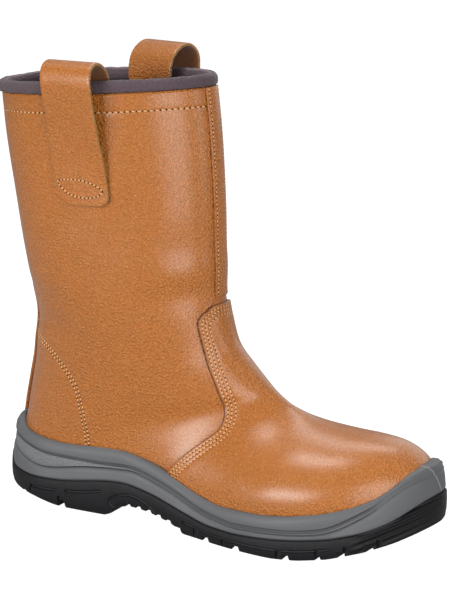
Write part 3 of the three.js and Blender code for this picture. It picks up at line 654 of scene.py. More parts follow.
def beads(name, seams, material, pitch, start, size, turn, lift):
    """A piece of beads along seams, each a pair of points and outward directions in mm."""
    points, normals, edges = [], [], []
    for path, outward in seams:
        first = len(points)
        path, outward = whole_stitches(path, outward, pitch)
        points += list(path + outward * lift)
        normals += list(outward)
        edges += [(first + k, first + k + 1) for k in range(len(path) - 1)]
    mesh = bpy.data.meshes.new(name)
    mesh.from_pydata(to_row(points).tolist(), edges, [])
    layer = mesh.attributes.new("leather_normal", "FLOAT_VECTOR", "POINT")
    layer.data.foreach_set("vector", np.asarray(normals, np.float32).ravel())
    piece = bpy.data.objects.new(name, mesh)
    bpy.context.scene.collection.objects.link(piece)
    tree = bpy.data.node_groups.get("Beads along a seam") or seam_tree()
    values = {"Pitch": pitch * MM, "Start": start * MM, "Length": size[0] * MM,
              "Width": size[1] * MM, "Height": size[2] * MM, "Turn": math.radians(turn),
              "Material": material}
    modifier = piece.modifiers.new("Beads", "NODES")
    modifier.node_group = tree
    for socket in tree.interface.items_tree:
        if socket.name in values:
            modifier[socket.identifier] = values[socket.name]
    as_plain_mesh(piece)
    piece.data.polygons.foreach_set("use_smooth", [True] * len(piece.data.polygons))
    return piece


def sew(name, seams, pitch, sizes):
    """Thread along seams, and dark beads of painted shade where its needle holes are."""
    thread = beads(f"{name}_thread", seams, material_of("sewing_thread"), pitch, pitch / 2,
                   (0.74 * pitch, sizes.thread_width / MM, 0.8 * sizes.thread_width / MM),
                   turn=7, lift=0.12)
    finish_piece(thread, "thread")
    hole = sizes.hole_width / MM
    # Painted shade: each needle hole is a flat dark bead whose colour stands in for the shade inside
    # the hole
    hole_shades = beads(f"{name}_holes", seams, material_of("needle_hole_shade"), pitch, 0.0,
                  (hole, hole, 0.5), turn=0, lift=0.1)
    finish_piece(hole_shades, "thread")


SEAMS = {}


def seam_on_leather(paths, out):
    """Seams in mm, with outward directions, from paths of spots on the leather."""
    return [(skin_point(p, out), last_normal(p[:, 0], p[:, 1])) for p in paths]


# Materials
def srgb(red, green, blue):
    """Linear colour from 0 to 255 screen values."""
    def one(v):
        v /= 255
        return v / 12.92 if v <= 0.04045 else ((v + 0.055) / 1.055) ** 2.4
    return (one(red), one(green), one(blue))


def shader_group(name, inputs, outputs):
    group = bpy.data.node_groups.new(name, "ShaderNodeTree")
    for socket, value in inputs:
        new_socket(group, socket, "NodeSocketFloat", value)
    for socket, kind in outputs:
        new_socket(group, socket, kind, direction="OUTPUT")
    return group, group.nodes.new("NodeGroupInput").outputs, group.nodes.new("NodeGroupOutput").inputs


def math_node(nodes, links, operation, first, second):
    node = nodes.new("ShaderNodeMath")
    node.operation = operation
    for socket, value in zip(node.inputs, (first, second)):
        if isinstance(value, (int, float)):
            socket.default_value = value
        else:
            links.new(value, socket)
    return node.outputs[0]


def noise_node(nodes, links, where, scale, detail=2.0, rough=0.5):
    node = nodes.new("ShaderNodeTexNoise")
    node.inputs["Detail"].default_value = detail
    node.inputs["Roughness"].default_value = rough
    links.new(where, node.inputs["Vector"])
    if isinstance(scale, (int, float)):
        node.inputs["Scale"].default_value = scale
    else:
        links.new(scale, node.inputs["Scale"])
    return node.outputs["Fac"]


def object_place(nodes):
    return nodes.new("ShaderNodeTexCoord").outputs["Object"]


def object_axes(nodes, links):
    """The places along X, Y and Z, in metres."""
    parts = nodes.new("ShaderNodeSeparateXYZ")
    links.new(object_place(nodes), parts.inputs[0])
    return parts.outputs


def grain_group():
    """Pebbled leather grain: a height, a mask of the pebbles' tops where the leather's sheen is
    painted, and soft patches.
    """
    group, given, result = shader_group(
        "Pebbled grain", (("Cells per metre", 720.0), ("Unevenness", 0.35)),
        (("Height", "NodeSocketFloat"), ("Tops", "NodeSocketFloat"),
         ("Patches", "NodeSocketFloat")))
    nodes, links = group.nodes, group.links
    where = object_place(nodes)
    pebbles = nodes.new("ShaderNodeTexVoronoi")
    pebbles.feature = "SMOOTH_F1"
    pebbles.inputs["Smoothness"].default_value = 0.6
    links.new(where, pebbles.inputs["Vector"])
    links.new(given["Cells per metre"], pebbles.inputs["Scale"])
    fine = noise_node(nodes, links, where, 2600.0, 3.0, 0.6)
    broad = noise_node(nodes, links, where, 260.0, 3.0, 0.55)
    patches = noise_node(nodes, links, where, 22.0, 3.0, 0.55)
    dome = math_node(nodes, links, "SUBTRACT", 1.0, pebbles.outputs["Distance"])
    grit = math_node(nodes, links, "MULTIPLY", fine, given["Unevenness"])
    swell = math_node(nodes, links, "MULTIPLY", broad, 0.2)
    height = math_node(nodes, links, "ADD", dome, grit)
    links.new(math_node(nodes, links, "ADD", height, swell), result["Height"])
    links.new(math_node(nodes, links, "POWER", dome, 4.0), result["Tops"])
    links.new(patches, result["Patches"])
    return group


def speckle_group():
    """Fine uneven surface of moulded or woven stuff: a height, and soft patches."""
    group, given, result = shader_group(
        "Fine speckle", (("Cells per metre", 1500.0), ("Stretch", 1.0)),
        (("Height", "NodeSocketFloat"), ("Patches", "NodeSocketFloat")))
    nodes, links = group.nodes, group.links
    where = object_place(nodes)
    links.new(noise_node(nodes, links, where, given["Cells per metre"], 3.0, 0.6),
              result["Height"])
    links.new(noise_node(nodes, links, where, 30.0, 3.0, 0.5), result["Patches"])
    return group


def material_of(name):
    return bpy.data.materials[name]


def start_material(name, rough, coat=0.0, coat_rough=0.3, specular=0.5, sheen=0.0):
    """A material with a Principled shader, and its nodes and links."""
    material = bpy.data.materials.new(name)
    material.use_nodes = True
    shader = material.node_tree.nodes["Principled BSDF"]
    shader.inputs["Roughness"].default_value = rough
    shader.inputs["Coat Weight"].default_value = coat
    shader.inputs["Coat Roughness"].default_value = coat_rough
    shader.inputs["Specular IOR Level"].default_value = specular
    shader.inputs["Sheen Weight"].default_value = sheen
    return material, shader, material.node_tree.nodes, material.node_tree.links


def mixed(nodes, links, share, first, second):
    """A colour between two, by a share that varies over the surface."""
    node = nodes.new("ShaderNodeMix")
    node.data_type = "RGBA"
    colours = [s for s in node.inputs if s.type == "RGBA"]
    links.new(share, node.inputs["Factor"])
    for socket, value in zip(colours, (first, second)):
        if isinstance(value, tuple):
            socket.default_value = (*value, 1.0)
        else:
            links.new(value, socket)
    return [s for s in node.outputs if s.type == "RGBA"][0]


def placed_group(nodes, name, **values):
    node = nodes.new("ShaderNodeGroup")
    node.node_tree = bpy.data.node_groups[name]
    for socket, value in values.items():
        node.inputs[socket.replace("_", " ")].default_value = value
    return node.outputs


def bumped(nodes, links, shader, height, distance, strength=1.0):
    bump = nodes.new("ShaderNodeBump")
    bump.inputs["Strength"].default_value = strength
    bump.inputs["Distance"].default_value = distance
    links.new(height, bump.inputs["Height"])
    links.new(bump.outputs["Normal"], shader.inputs["Normal"])


def attribute(nodes, name):
    node = nodes.new("ShaderNodeAttribute")
    node.attribute_name = name
    return node.outputs["Fac"]


def scaled(colour, by):
    return tuple(c * by for c in colour)


def leather_material(name, looks, sizes, edge):
    """Tan pebbled leather with a painted sheen on the grain's tops, another colour where cut_edge
    marks its cut edges.
    """
    material, shader, nodes, links = start_material(name, rough=0.45, coat=1.0,
                                                    coat_rough=0.31, specular=0.4)
    tan = tuple(looks.leather)
    grain = placed_group(nodes, "Pebbled grain", **{"Cells per metre": 1 / sizes.grain_size})
    patches = math_node(nodes, links, "MULTIPLY", grain["Patches"], 0.6)
    body = mixed(nodes, links, patches, tan, scaled(tan, 0.78))
    # Painted sheen: the pebbles' tops are mixed towards a pale pinkish colour that stands in for
    # light caught on them
    tops = math_node(nodes, links, "MULTIPLY", grain["Tops"], 0.85)
    body = mixed(nodes, links, tops, body, tuple(looks.painted_pebble_sheen))
    body = mixed(nodes, links, attribute(nodes, "cut_edge"), body, edge)
    links.new(body, shader.inputs["Base Color"])
    bumped(nodes, links, shader, grain["Height"], sizes.grain_depth)


def suede_material(looks):
    """Brown flesh side of the straps."""
    material, shader, nodes, links = start_material("suede", rough=0.9, specular=0.3,
                                                    sheen=0.25)
    speckle = placed_group(nodes, "Fine speckle", **{"Cells per metre": 900.0})
    colour = mixed(nodes, links, speckle["Height"], scaled(tuple(looks.suede), 0.6),
                   scaled(tuple(looks.suede), 1.35))
    links.new(colour, shader.inputs["Base Color"])
    bumped(nodes, links, shader, speckle["Height"], 0.0006)


def parting_mask(nodes, links):
    """1 along the thin line that the mould leaves up the toe bumper."""
    top, foot = PARTING_LINE["top"], PARTING_LINE["foot"]
    slope = (foot[0] - top[0]) / (top[1] - foot[1])
    start = (top[0] + slope * top[1]) * MM + ORIGIN[1]
    place = object_axes(nodes, links)
    rise = math_node(nodes, links, "MULTIPLY", place["Z"], slope)
    across = math_node(nodes, links, "ADD", place["Y"], rise)
    off = math_node(nodes, links, "ABSOLUTE",
                    math_node(nodes, links, "SUBTRACT", across, start), 0.0)
    near = math_node(nodes, links, "LESS_THAN", off, PARTING_LINE["breadth"] / 2 * MM)
    front = math_node(nodes, links, "GREATER_THAN", place["X"],
                      PARTING_LINE["from_x"] * MM + ORIGIN[0])
    return math_node(nodes, links, "MULTIPLY", near, front)


def foam_material(looks):
    """Grey moulded foam, stippled where stipple says so."""
    material, shader, nodes, links = start_material("moulded_foam", rough=0.5, specular=0.45)
    speckle = placed_group(nodes, "Fine speckle", **{"Cells per metre": 950.0})
    grey = tuple(looks.grey_foam)
    patches = math_node(nodes, links, "MULTIPLY", speckle["Patches"], 0.5)
    body = mixed(nodes, links, patches, grey, scaled(grey, 0.78))
    stipple = attribute(nodes, "stipple")
    spots = math_node(nodes, links, "MULTIPLY", speckle["Height"], stipple)
    body = mixed(nodes, links, spots, body, scaled(grey, 2.4))
    body = mixed(nodes, links, parting_mask(nodes, links), body, scaled(grey, 2.2))
    links.new(body, shader.inputs["Base Color"])
    depth = math_node(nodes, links, "MULTIPLY_ADD", stipple, 0.9)
    depth.node.inputs[2].default_value = 0.1
    bumped(nodes, links, shader, math_node(nodes, links, "MULTIPLY", speckle["Height"], depth),
           0.0014)


STREAK_PITCH = 0.0042


def rubber_material(looks):
    """Black moulded outsole, with long streaks in its toe where streaks says so."""
    material, shader, nodes, links = start_material("moulded_rubber", rough=0.55, specular=0.4)
    speckle = placed_group(nodes, "Fine speckle", **{"Cells per metre": 1100.0})
    black = tuple(looks.black_rubber)
    body = mixed(nodes, links, speckle["Patches"], black, scaled(black, 1.5))
    links.new(body, shader.inputs["Base Color"])
    place = object_axes(nodes, links)
    slant = math_node(nodes, links, "MULTIPLY_ADD", place["X"], -0.45)
    links.new(place["Z"], slant.node.inputs[2])
    wave = math_node(nodes, links, "SINE",
                     math_node(nodes, links, "MULTIPLY", slant, 2 * math.pi / STREAK_PITCH), 0.0)
    streak = math_node(nodes, links, "MULTIPLY", wave, attribute(nodes, "streaks"))
    fine = math_node(nodes, links, "MULTIPLY", speckle["Height"], 0.35)
    bumped(nodes, links, shader, math_node(nodes, links, "ADD", streak, fine), 0.0009)


def cloth_material(name, colour, cells, depth, rough, sheen):
    """A textile: even colour, a fine uneven surface, and a painted highlight, much paler, where crest
    says so.
    """
    material, shader, nodes, links = start_material(name, rough, specular=0.35, sheen=sheen)
    speckle = placed_group(nodes, "Fine speckle", **{"Cells per metre": cells})
    body = mixed(nodes, links, speckle["Height"], scaled(colour, 0.7), scaled(colour, 1.3))
    # Painted highlight: the crest mask turns the cloth much paler along the top of the roll, standing
    # in for light falling on it
    body = mixed(nodes, links, attribute(nodes, "crest"), body, scaled(colour, 3.0))
    links.new(body, shader.inputs["Base Color"])
    bumped(nodes, links, shader, speckle["Height"], depth)


def plain_material(name, colour, rough):
    _, shader, _, _ = start_material(name, rough, specular=0.3)
    shader.inputs["Base Color"].default_value = (*colour, 1.0)


# Properties
def length_setting(name, description, default):
    return bpy.props.FloatProperty(name=name, description=description, default=default,
                                   unit="LENGTH", subtype="DISTANCE", precision=5)


def colour_setting(name, description, default):
    return bpy.props.FloatVectorProperty(name=name, description=description, default=default,
                                         size=3, min=0.0, max=1.0, subtype="COLOR")


class BootSizes(bpy.types.PropertyGroup):
    """Sizes of the boot's worked details."""

    leather: length_setting("Leather", "Thickness of the upper's leather", 0.0022)
    overlay: length_setting("Vamp", "Thickness of the leather laid over the foot", 0.0022)
    mesh_step: length_setting("Mesh step", "Distance between rows of the leather's mesh", 0.0022)
    grain_size: length_setting("Grain", "Breadth of one pebble of the grain", 0.0013)
    grain_depth: length_setting("Grain depth", "Depth of the grain", 0.0018)
    seam_dip: length_setting("Seam dip", "How far a seam pulls the leather in", 0.0003)
    vamp_pitch: length_setting("Vamp stitch", "Distance from stitch to stitch on the vamp", 0.0026)
    collar_pitch: length_setting("Collar stitch", "Distance from stitch to stitch at the collar",
                                 0.0036)
    thread_width: length_setting("Thread", "Breadth of the thread", 0.0009)
    hole_width: length_setting("Needle hole", "Breadth of a needle hole", 0.0011)
    lining: length_setting("Lining", "Thickness of the cloth lining", 0.0008)


class BootLooks(bpy.types.PropertyGroup):
    """Colours of the boot's materials."""

    leather: colour_setting("Leather", "Tan leather", srgb(199, 112, 22))
    # The pebble colour is a painted sheen: a pale colour on the grain's tops that stands in for light
    # caught on them
    painted_pebble_sheen: colour_setting("Pebble sheen", "Painted sheen on the grain's tops", srgb(246, 178, 100))
    cut_edge: colour_setting("Cut edge", "Dyed cut edge of the vamp", srgb(98, 54, 24))
    raw_edge: colour_setting("Raw edge", "Undyed cut edge of the pull loops", srgb(172, 130, 62))
    suede: colour_setting("Suede", "Flesh side of the straps", srgb(140, 88, 48))
    grey_foam: colour_setting("Grey foam", "Moulded midsole", srgb(98, 99, 101))
    black_rubber: colour_setting("Black rubber", "Outsole", srgb(9, 9, 13))
    collar: colour_setting("Collar cloth", "Roll round the top line", srgb(84, 68, 75))
    lining: colour_setting("Lining", "Cloth inside the leg", srgb(46, 38, 42))
    thread: colour_setting("Thread", "Stitching", srgb(232, 180, 126))
    floor: colour_setting("Floor", "Studio floor", (0.25, 0.25, 0.25))


def settings():
    return bpy.context.scene.boot_sizes, bpy.context.scene.boot_looks


# Leather pieces
# Rows of stitches in mm: under the collar's crest, on both sides of the counter's seam, and in
# from the cut edge of the vamp and of a strip
COLLAR_ROWS = (19.0,)
COUNTER_ROWS = (-1.2, 1.2)
VAMP_ROWS = (2.0, 4.3, 6.8)
STRIP_ROWS = (1.9,)

# Breadth of the trough beside a row of stitches, and of a cut edge's rounding
TROUGH = 0.9
EDGE_ROUNDING = 0.9

STEPS_ROUND = {"upper": 168, "vamp": 160, "strip": 30, "lining": 120}


def drop_below_crest(points):
    """How far points lie under the collar's crest plane."""
    slope = (LAST["front_z"][0] - LAST["back_z"][0]) / (LAST["front_x"][0] - LAST["back_x"][0])
    return LAST["back_z"][0] + slope * (points[:, 0] - LAST["back_x"][0]) - points[:, 2]


def above_seat(points):
    """How far points stand over the foam that carries the foot."""
    return points[:, 2] - line_height("seat", points[:, 0]) - GAP


def below_binding(points):
    """How far points lie under the collar's binding."""
    return drop_below_crest(points) - BINDING_HEIGHT - GAP


def side_distance(points, path_chart):
    """Distance in the side view from a charted path, less than 0 on its right-hand side."""
    px, pz = fine_path(path_chart["x"], path_chart["z"], 1.0)
    a = np.stack([px[:-1], pz[:-1]], axis=1)
    d = np.stack([np.diff(px), np.diff(pz)], axis=1)
    best = np.full(len(points), 1e9)
    sign = np.ones(len(points))
    for start, step in zip(a, d):
        rel_x, rel_z = points[:, 0] - start[0], points[:, 2] - start[1]
        t = np.clip((rel_x * step[0] + rel_z * step[1]) / (step @ step), 0, 1)
        ex, ez = rel_x - t * step[0], rel_z - t * step[1]
        away = np.hypot(ex, ez)
        nearer = away < best
        best = np.where(nearer, away, best)
        cross = step[0] * ez - step[1] * ex
        sign = np.where(nearer, np.where(cross >= 0, 1.0, -1.0), sign)
    return best * sign


def base_points(spots):
    return last_point(spots[:, 0], spots[:, 1], 0)


def seam_dips(points, paths, dip):
    """How far seams pull the leather in at points."""
    total = np.zeros(len(points))
    for path in paths:
        away = distance_to(points, dense(base_points(path)))
        total = np.maximum(total, dip * np.exp(-(away / TROUGH) ** 2))
    return total


def score_beside(spots, tris, level_of, distances):
    """Scores a sheet at several levels of one field."""
    for distance in distances:
        spots, tris, _ = score(spots, tris, level_of(spots) - distance)
    return spots, tris


def make_upper(sizes):
    """The leg and lasted foot: one wall, open at the collar and under the foot."""
    leather = sizes.leather / MM
    spots, tris = grid_sheet(0, LAST_END, -math.pi, math.pi, sizes.mesh_step / MM,
                             STEPS_ROUND["upper"])
    spots, tris = keep(spots, tris, below_binding(base_points(spots)))
    spots, tris = keep(spots, tris, above_seat(base_points(spots)))

    def collar_line(at):
        return drop_below_crest(base_points(at))

    def counter_line(at):
        points = base_points(at)
        away = side_distance(points, COUNTER_SEAM)
        return np.where(points[:, 0] < 90, away, 40.0)

    seams = []
    for level_of, rows in ((collar_line, COLLAR_ROWS), (counter_line, COUNTER_ROWS)):
        for distance in rows:
            for shift in (-TROUGH, TROUGH):
                spots, tris, _ = score(spots, tris, level_of(spots) - distance - shift)
            spots, tris, level = score(spots, tris, level_of(spots) - distance)
            paths = level_paths(spots, tris, level)
            if level_of is counter_line:
                paths = [p for p in paths if base_points(p)[:, 2].min() < 100]
            seams += [(level_of is collar_line, p) for p in paths]
    dips = seam_dips(base_points(spots), [p for _, p in seams], sizes.seam_dip / MM)
    base = base_points(spots)
    relief = crease_relief(base)
    outer = last_point(spots[:, 0], spots[:, 1], relief - dips)
    inner = last_point(spots[:, 0], spots[:, 1], relief * 0.9 - leather)
    points, faces = wall_of(spots, tris, outer, inner)
    piece = new_piece("upper_leather", points, faces, {"cut_edge": np.zeros(len(points))},
                      merge=0.005)
    SEAMS["collar"] = seam_on_leather([p for collar, p in seams if collar], 0)
    SEAMS["counter"] = seam_on_leather([p for collar, p in seams if not collar], 0)
    return piece


def overlay_piece(name, spots, tris, edge_paths, rows, thick, sizes, dyed=1.0):
    """A leather piece laid on the boot, with a rounded cut edge and sewn rows."""
    edge_points = np.concatenate([dense(base_points(p)) for p in edge_paths])

    def from_edge(at):
        return distance_to(base_points(at), edge_points)

    spots, tris = score_beside(spots, tris, from_edge, (0.3, EDGE_ROUNDING))
    seams = []
    for distance in rows:
        spots, tris = score_beside(spots, tris, from_edge,
                                   (distance - TROUGH, distance + TROUGH))
        spots, tris, level = score(spots, tris, from_edge(spots) - distance)
        seams += level_paths(spots, tris, level)
    away = from_edge(spots)
    dips = np.zeros(len(spots))
    for distance in rows:
        dips += sizes.seam_dip / MM * np.exp(-((away - distance) / TROUGH) ** 2)
    rounding = np.sqrt(1 - (1 - np.clip(away / EDGE_ROUNDING, 0, 1)) ** 2)
    height = thick * (0.55 + 0.45 * rounding) - dips
    outer = skin_point(spots, GAP + height)
    inner = skin_point(spots, np.full(len(spots), GAP))
    points, faces = wall_of(spots, tris, outer, inner)
    cut = dyed * np.clip(1 - away / 0.45, 0, 1)
    piece = new_piece(name, points, faces, {"cut_edge": np.concatenate([cut, cut])},
                      merge=0.002)
    return piece, seam_on_leather(seams, GAP + thick - sizes.seam_dip / MM)


def make_vamp(sizes):
    """The vamp over the foot, its curved edges sewn with three rows."""
    spots, tris = grid_sheet(3, LAST_END, -math.pi * 0.9, math.pi * 0.9,
                             sizes.mesh_step / MM, STEPS_ROUND["vamp"])
    spots, tris = keep(spots, tris, above_seat(base_points(spots)))

    def inside(at):
        points = base_points(at)
        far = points[:, 0] > 176
        return np.where(far, 30.0, side_distance(points, VAMP_EDGE))

    spots, tris, level = score(spots, tris, inside(spots))
    paths = level_paths(spots, tris, level)
    spots, tris = keep(spots, tris, inside(spots))
    thick = sizes.overlay / MM
    piece, SEAMS["vamp"] = overlay_piece("vamp_leather", spots, tris, paths, VAMP_ROWS, thick,
                                         sizes)
    return piece


def make_strip(name, sizes):
    """A strip over the back or the front seam, sewn along both edges."""
    strip = STRIPS[name]
    middle, half = strip["middle"], strip["half"]
    spread = 0.75
    final = 9.0 if middle else 5.0
    spots, tris = grid_sheet(0, final, middle - spread, middle + spread, 2.2,
                             STEPS_ROUND["strip"])
    spots, tris = keep(spots, tris, below_binding(base_points(spots)))
    spots, tris = keep(spots, tris, base_points(spots)[:, 2] - strip["bottom"])

    def across(at):
        return half - np.abs(base_points(at)[:, 1])

    spots, tris, level = score(spots, tris, across(spots))
    paths = level_paths(spots, tris, level)
    spots, tris = keep(spots, tris, across(spots))
    piece, SEAMS[name] = overlay_piece(f"{name}_leather", spots, tris, paths, STRIP_ROWS,
                                       strip["thick"], sizes, dyed=0.35)
    return piece


def make_lining(sizes):
    """Dark cloth inside the leg and the foot, a little wrinkled."""
    spots, tris = grid_sheet(0, LAST_END - 1, -math.pi, math.pi, 3.0, STEPS_ROUND["lining"])
    spots, tris = keep(spots, tris, below_binding(base_points(spots)))
    spots, tris = keep(spots, tris, above_seat(base_points(spots)) - 3.2)
    base = base_points(spots)
    relief = crease_relief(base) * 0.9
    wrinkle = np.array([noise(Vector((p[0] / 16, p[1] / 16, p[2] / 30))) for p in base])
    wrinkle += 0.5 * np.array([noise(Vector((p[0] / 7, p[1] / 7, p[2] / 9))) for p in base])
    inside = -sizes.leather / MM - 0.15
    thick = sizes.lining / MM
    outer = last_point(spots[:, 0], spots[:, 1], relief + inside)
    inner = last_point(spots[:, 0], spots[:, 1],
                       relief + inside - thick - np.clip(0.8 + 1.1 * wrinkle, 0, 2.2))
    points, faces = wall_of(spots, tris, outer, inner)
    return new_piece("lining_cloth", points, faces, merge=0.005)


def make_roll():
    """The padded cloth roll round the top line."""
    turns, around = 28, 200
    place = np.linspace(0, len(ROLL["out"]), turns, endpoint=False)
    steps = np.arange(len(ROLL["out"]) + 3)
    outs = column_at(ROLL["out"][(steps - 1) % len(ROLL["out"])], place + 1)
    drops = column_at(ROLL["drop"][(steps - 1) % len(ROLL["out"])], place + 1)
    angles = np.linspace(0, 2 * math.pi, around, endpoint=False)
    rings, crest = [], []
    for out, drop in zip(outs, drops):
        # crest marks a narrow band along the roll's top where a highlight is painted
        crest += [float(drop < 1 and abs(out + 3.1) < 0.45)] * around
        ring = last_point(np.zeros(around), angles, np.full(around, out))
        soft = np.array([noise(Vector((p[0] / 6, p[1] / 6, drop / 4 + out / 4))) for p in ring])
        ring[:, 2] -= drop + 0.45 * soft * (drop < 6.5)
        rings.append(ring)
    points = np.concatenate(rings)
    faces = [f[::-1] for f in ring_faces(turns, around, closed=True)]
    return new_piece("collar_roll", points, faces, {"crest": crest}, merge=0.001)


# Pull loops
def shaft_side(x, z):
    """How far the boot's side stands from the middle plane on the leg."""
    place = np.linspace(0, 5, 200)
    row = {name: column_at(values, place) for name, values in LAST.items()}
    middle_z = (row["front_z"] + row["back_z"]) / 2
    at = {name: np.interp(-np.minimum(z, middle_z[0]), -middle_z, values)
          for name, values in row.items()}
    span = at["front_x"] - at["back_x"]
    centre = at["back_x"] + span * at["wide"]
    front = x > centre
    reach = span * np.where(front, 1 - at["wide"], at["wide"])
    power = np.where(front, at["front"], at["back"])
    offset = np.minimum(np.abs(x - centre) / reach, 1)
    return at["lateral"] * (1 - offset ** power) ** (1 / power)


def strap_point(loop, place, share, face):
    """Points of a strap: place counts along its run, share goes from edge to edge, and face
    from -0.5 on the flesh side to 0.5 on the grain side."""
    run = loop["run"]
    step = 0.02
    before, after = (np.clip(place + s, 0, len(run["z"]) - 1) for s in (-step, step))
    out, z, follow = (column_at(run[key], place) for key in ("out", "z", "follow"))
    d_out = column_at(run["out"], after) - column_at(run["out"], before)
    d_z = column_at(run["z"], after) - column_at(run["z"], before)
    size = np.hypot(d_out, d_z)
    slant = math.tan(math.radians(loop["turn"]))
    low, high = run["z"][0], run["z"].max()
    middle_x = loop["bottom_x"] + (loop["top_x"] - loop["bottom_x"]) * (z - low) / (high - low)
    free = 1 - follow
    side = loop["side"]
    shift = share * STRAP_WIDTH
    base = shaft_side(middle_x, z)
    fold = shaft_side(middle_x + shift, z) - base
    bow = fold * follow + shift * slant * side * free
    offset = face * STRAP_THICK
    out_at = out + d_z / size * offset
    z_at = z - d_out / size * offset
    lean = -side * slant * out_at * free
    return np.stack([middle_x + shift + lean, side * (base + bow + out_at), z_at], axis=-1)


def strap_end(loop, place, share):
    """How far a strap's sewn end reaches lower or is rounded off, by place."""
    end = np.clip(1 - place / 1.6, 0, 1) ** 1.5
    back = np.clip((-share - 0.16) / 0.34, 0, 1) ** 2.2
    front = np.clip((share - 0.3) / 0.2, 0, 1) ** 2.4
    return end * (-2.6 + 9.0 * back + 4.5 * front)


def make_strap(name):
    """A pull loop with ragged raw edges, suede on its flesh side."""
    loop = PULL_LOOPS[name]
    steps, across = 190, 26
    edge = np.array([-0.5, -0.492, -0.475])
    shares = np.concatenate([edge, np.linspace(-0.44, 0.44, across - 6), -edge[::-1]])
    thickness = np.array([0.34, 0.44, 0.5] + [0.5] * (across - 6) + [0.5, 0.44, 0.34])
    place, share = np.meshgrid(np.linspace(0, len(loop["run"]["z"]) - 1, steps), shares,
                               indexing="ij")
    half = np.repeat(thickness[None, :], steps, axis=0)
    half[[0, -1]] *= 0.7
    ragged = np.array([[noise(Vector((k * 0.7, loop["side"] * 3.0, side))) for side in (0, 5)]
                       for k in range(steps)])
    near_edge = fade(np.abs(share), 0.47, 0.5)
    grids = []
    for sign in (-1, 1):
        grid = strap_point(loop, place, share, sign * half)
        grid[..., 2] += strap_end(loop, place, share)
        grid[..., 0] += 0.45 * near_edge * np.where(share < 0, ragged[:, :1], ragged[:, 1:])
        grids.append(grid.reshape(-1, 3))
    count = steps * across
    index = np.arange(count).reshape(steps, across)
    quads = np.stack([index[:-1, :-1], index[:-1, 1:], index[1:, 1:], index[1:, :-1]], -1)
    quads = quads.reshape(-1, 4)
    ring = np.concatenate([index[0, :], index[1:, -1], index[-1, -2::-1], index[-2:0:-1, 0]])
    after = np.roll(ring, -1)
    sides = np.stack([ring, after, after + count, ring + count], axis=1)
    faces = np.concatenate([quads[:, ::-1], quads + count, sides])
    raw = np.zeros((steps, across))
    raw[:, [0, 1, -2, -1]] = (0.9, 0.15, 0.15, 0.9)
    raw[[0, -1], :] = 1.0
    piece = new_piece(f"{name}_leather", np.concatenate(grids), faces,
                      {"cut_edge": np.concatenate([raw.ravel(), raw.ravel()])})
    face_outwards(piece.data)
    set_materials(piece, material_of("strap_leather"), material_of("suede"))
    flesh = np.zeros(len(faces), int)
    flesh[:len(quads)] = 1
    piece.data.polygons.foreach_set("material_index", flesh)
    SEAMS[name] = [strap_eye(loop)]
    return piece


def strap_eye(loop):
    """The lens-shaped row of stitches near a strap's sewn end."""
    turn = np.linspace(0, 2 * math.pi, 120)
    share = EYE["half_width"] * np.cos(turn)
    rise = EYE["half_height"] * np.sin(turn) * np.abs(np.sin(turn)) ** 0.3
    run_z = loop["run"]["z"][:6]
    place = np.interp(run_z[0] + EYE["above_end"] + rise - EYE["tilt"] * share, run_z,
                      np.arange(6.0))
    points = strap_point(loop, place, share, 0.5)
    points[:, 2] += strap_end(loop, place, share)
    across = strap_point(loop, place, share + 0.01, 0.5) - points
    along = strap_point(loop, place + 0.05, share, 0.5) - points
    normals = np.cross(across, along)
    normals *= np.sign(normals[:, 1] * loop["side"])[:, None]
    return points, normals / np.linalg.norm(normals, axis=1, keepdims=True)


# The sole
def outline_ring(steps):
    """The sole's outline, out along the outer side and back along the inner side."""
    x = np.concatenate([OUTLINE["station"], OUTLINE["station"][-2:0:-1]])
    y = np.concatenate([-OUTLINE["lateral"], OUTLINE["medial"][-2:0:-1]])
    return np.stack([closed_curve(x, steps), closed_curve(y, steps)], axis=1)


def outline_edge(station, side):
    """Distance of the sole's outline from the middle plane, on one side."""
    ring = outline_ring(9)
    ring = ring[side * ring[:, 1] > 0]
    ring = ring[np.argsort(ring[:, 0])]
    return np.interp(station, ring[:, 0], np.abs(ring[:, 1]))


def inset_ring(ring, distance):
    """The outline moved inwards; distance may be one number a point."""
    along = np.roll(ring, -1, axis=0) - np.roll(ring, 1, axis=0)
    along /= np.linalg.norm(along, axis=1, keepdims=True)
    return ring + np.stack([-along[:, 1], along[:, 0]], axis=1) * np.reshape(distance, (-1, 1))


def line_round(name, ring):
    """Heights of one of the sole's lines all round its outline."""
    return line_height(name, inset_ring(ring, LINES[name][1])[:, 0])


def wall_rings(wall, ring):
    """Rings of a sole's side wall from its chart."""
    rings = []
    for upper_line, lower_line, share, rise, inset, cut in wall:
        upper, lower = line_round(upper_line, ring), line_round(lower_line, ring)
        height = upper + (lower - upper) * share + rise
        depth = cut * (1 - fade(ring[:, 0], 270, 282))
        flat = inset_ring(ring, inset + depth)
        rings.append(np.column_stack([flat, height]))
    return rings


def rung_faces(start, count, flip):
    """Closes a ring that begins on the middle line, from side to side."""
    faces = []
    for i in range(count // 2):
        a, b = start + i, start + i + 1
        c, d = start + (count - i - 1) % count, start + (count - i) % count
        face = [a, b, c] if a == d else [a, b, c, d]
        if b == c:
            face = [a, b, d]
        faces.append(face[::-1] if flip else face)
    return faces


def ring_solid(name, rings, attributes):
    count = len(rings[0])
    faces = ring_faces(len(rings), count)
    faces += rung_faces(0, count, True)
    faces += rung_faces((len(rings) - 1) * count, count, False)
    return new_piece(name, np.concatenate(rings), faces, attributes, merge=0.001)


# How far in from the outline leather is looked for, and where it is taken to be if there is none
LEATHER_REACH = 25.0
NO_LEATHER = 9.0


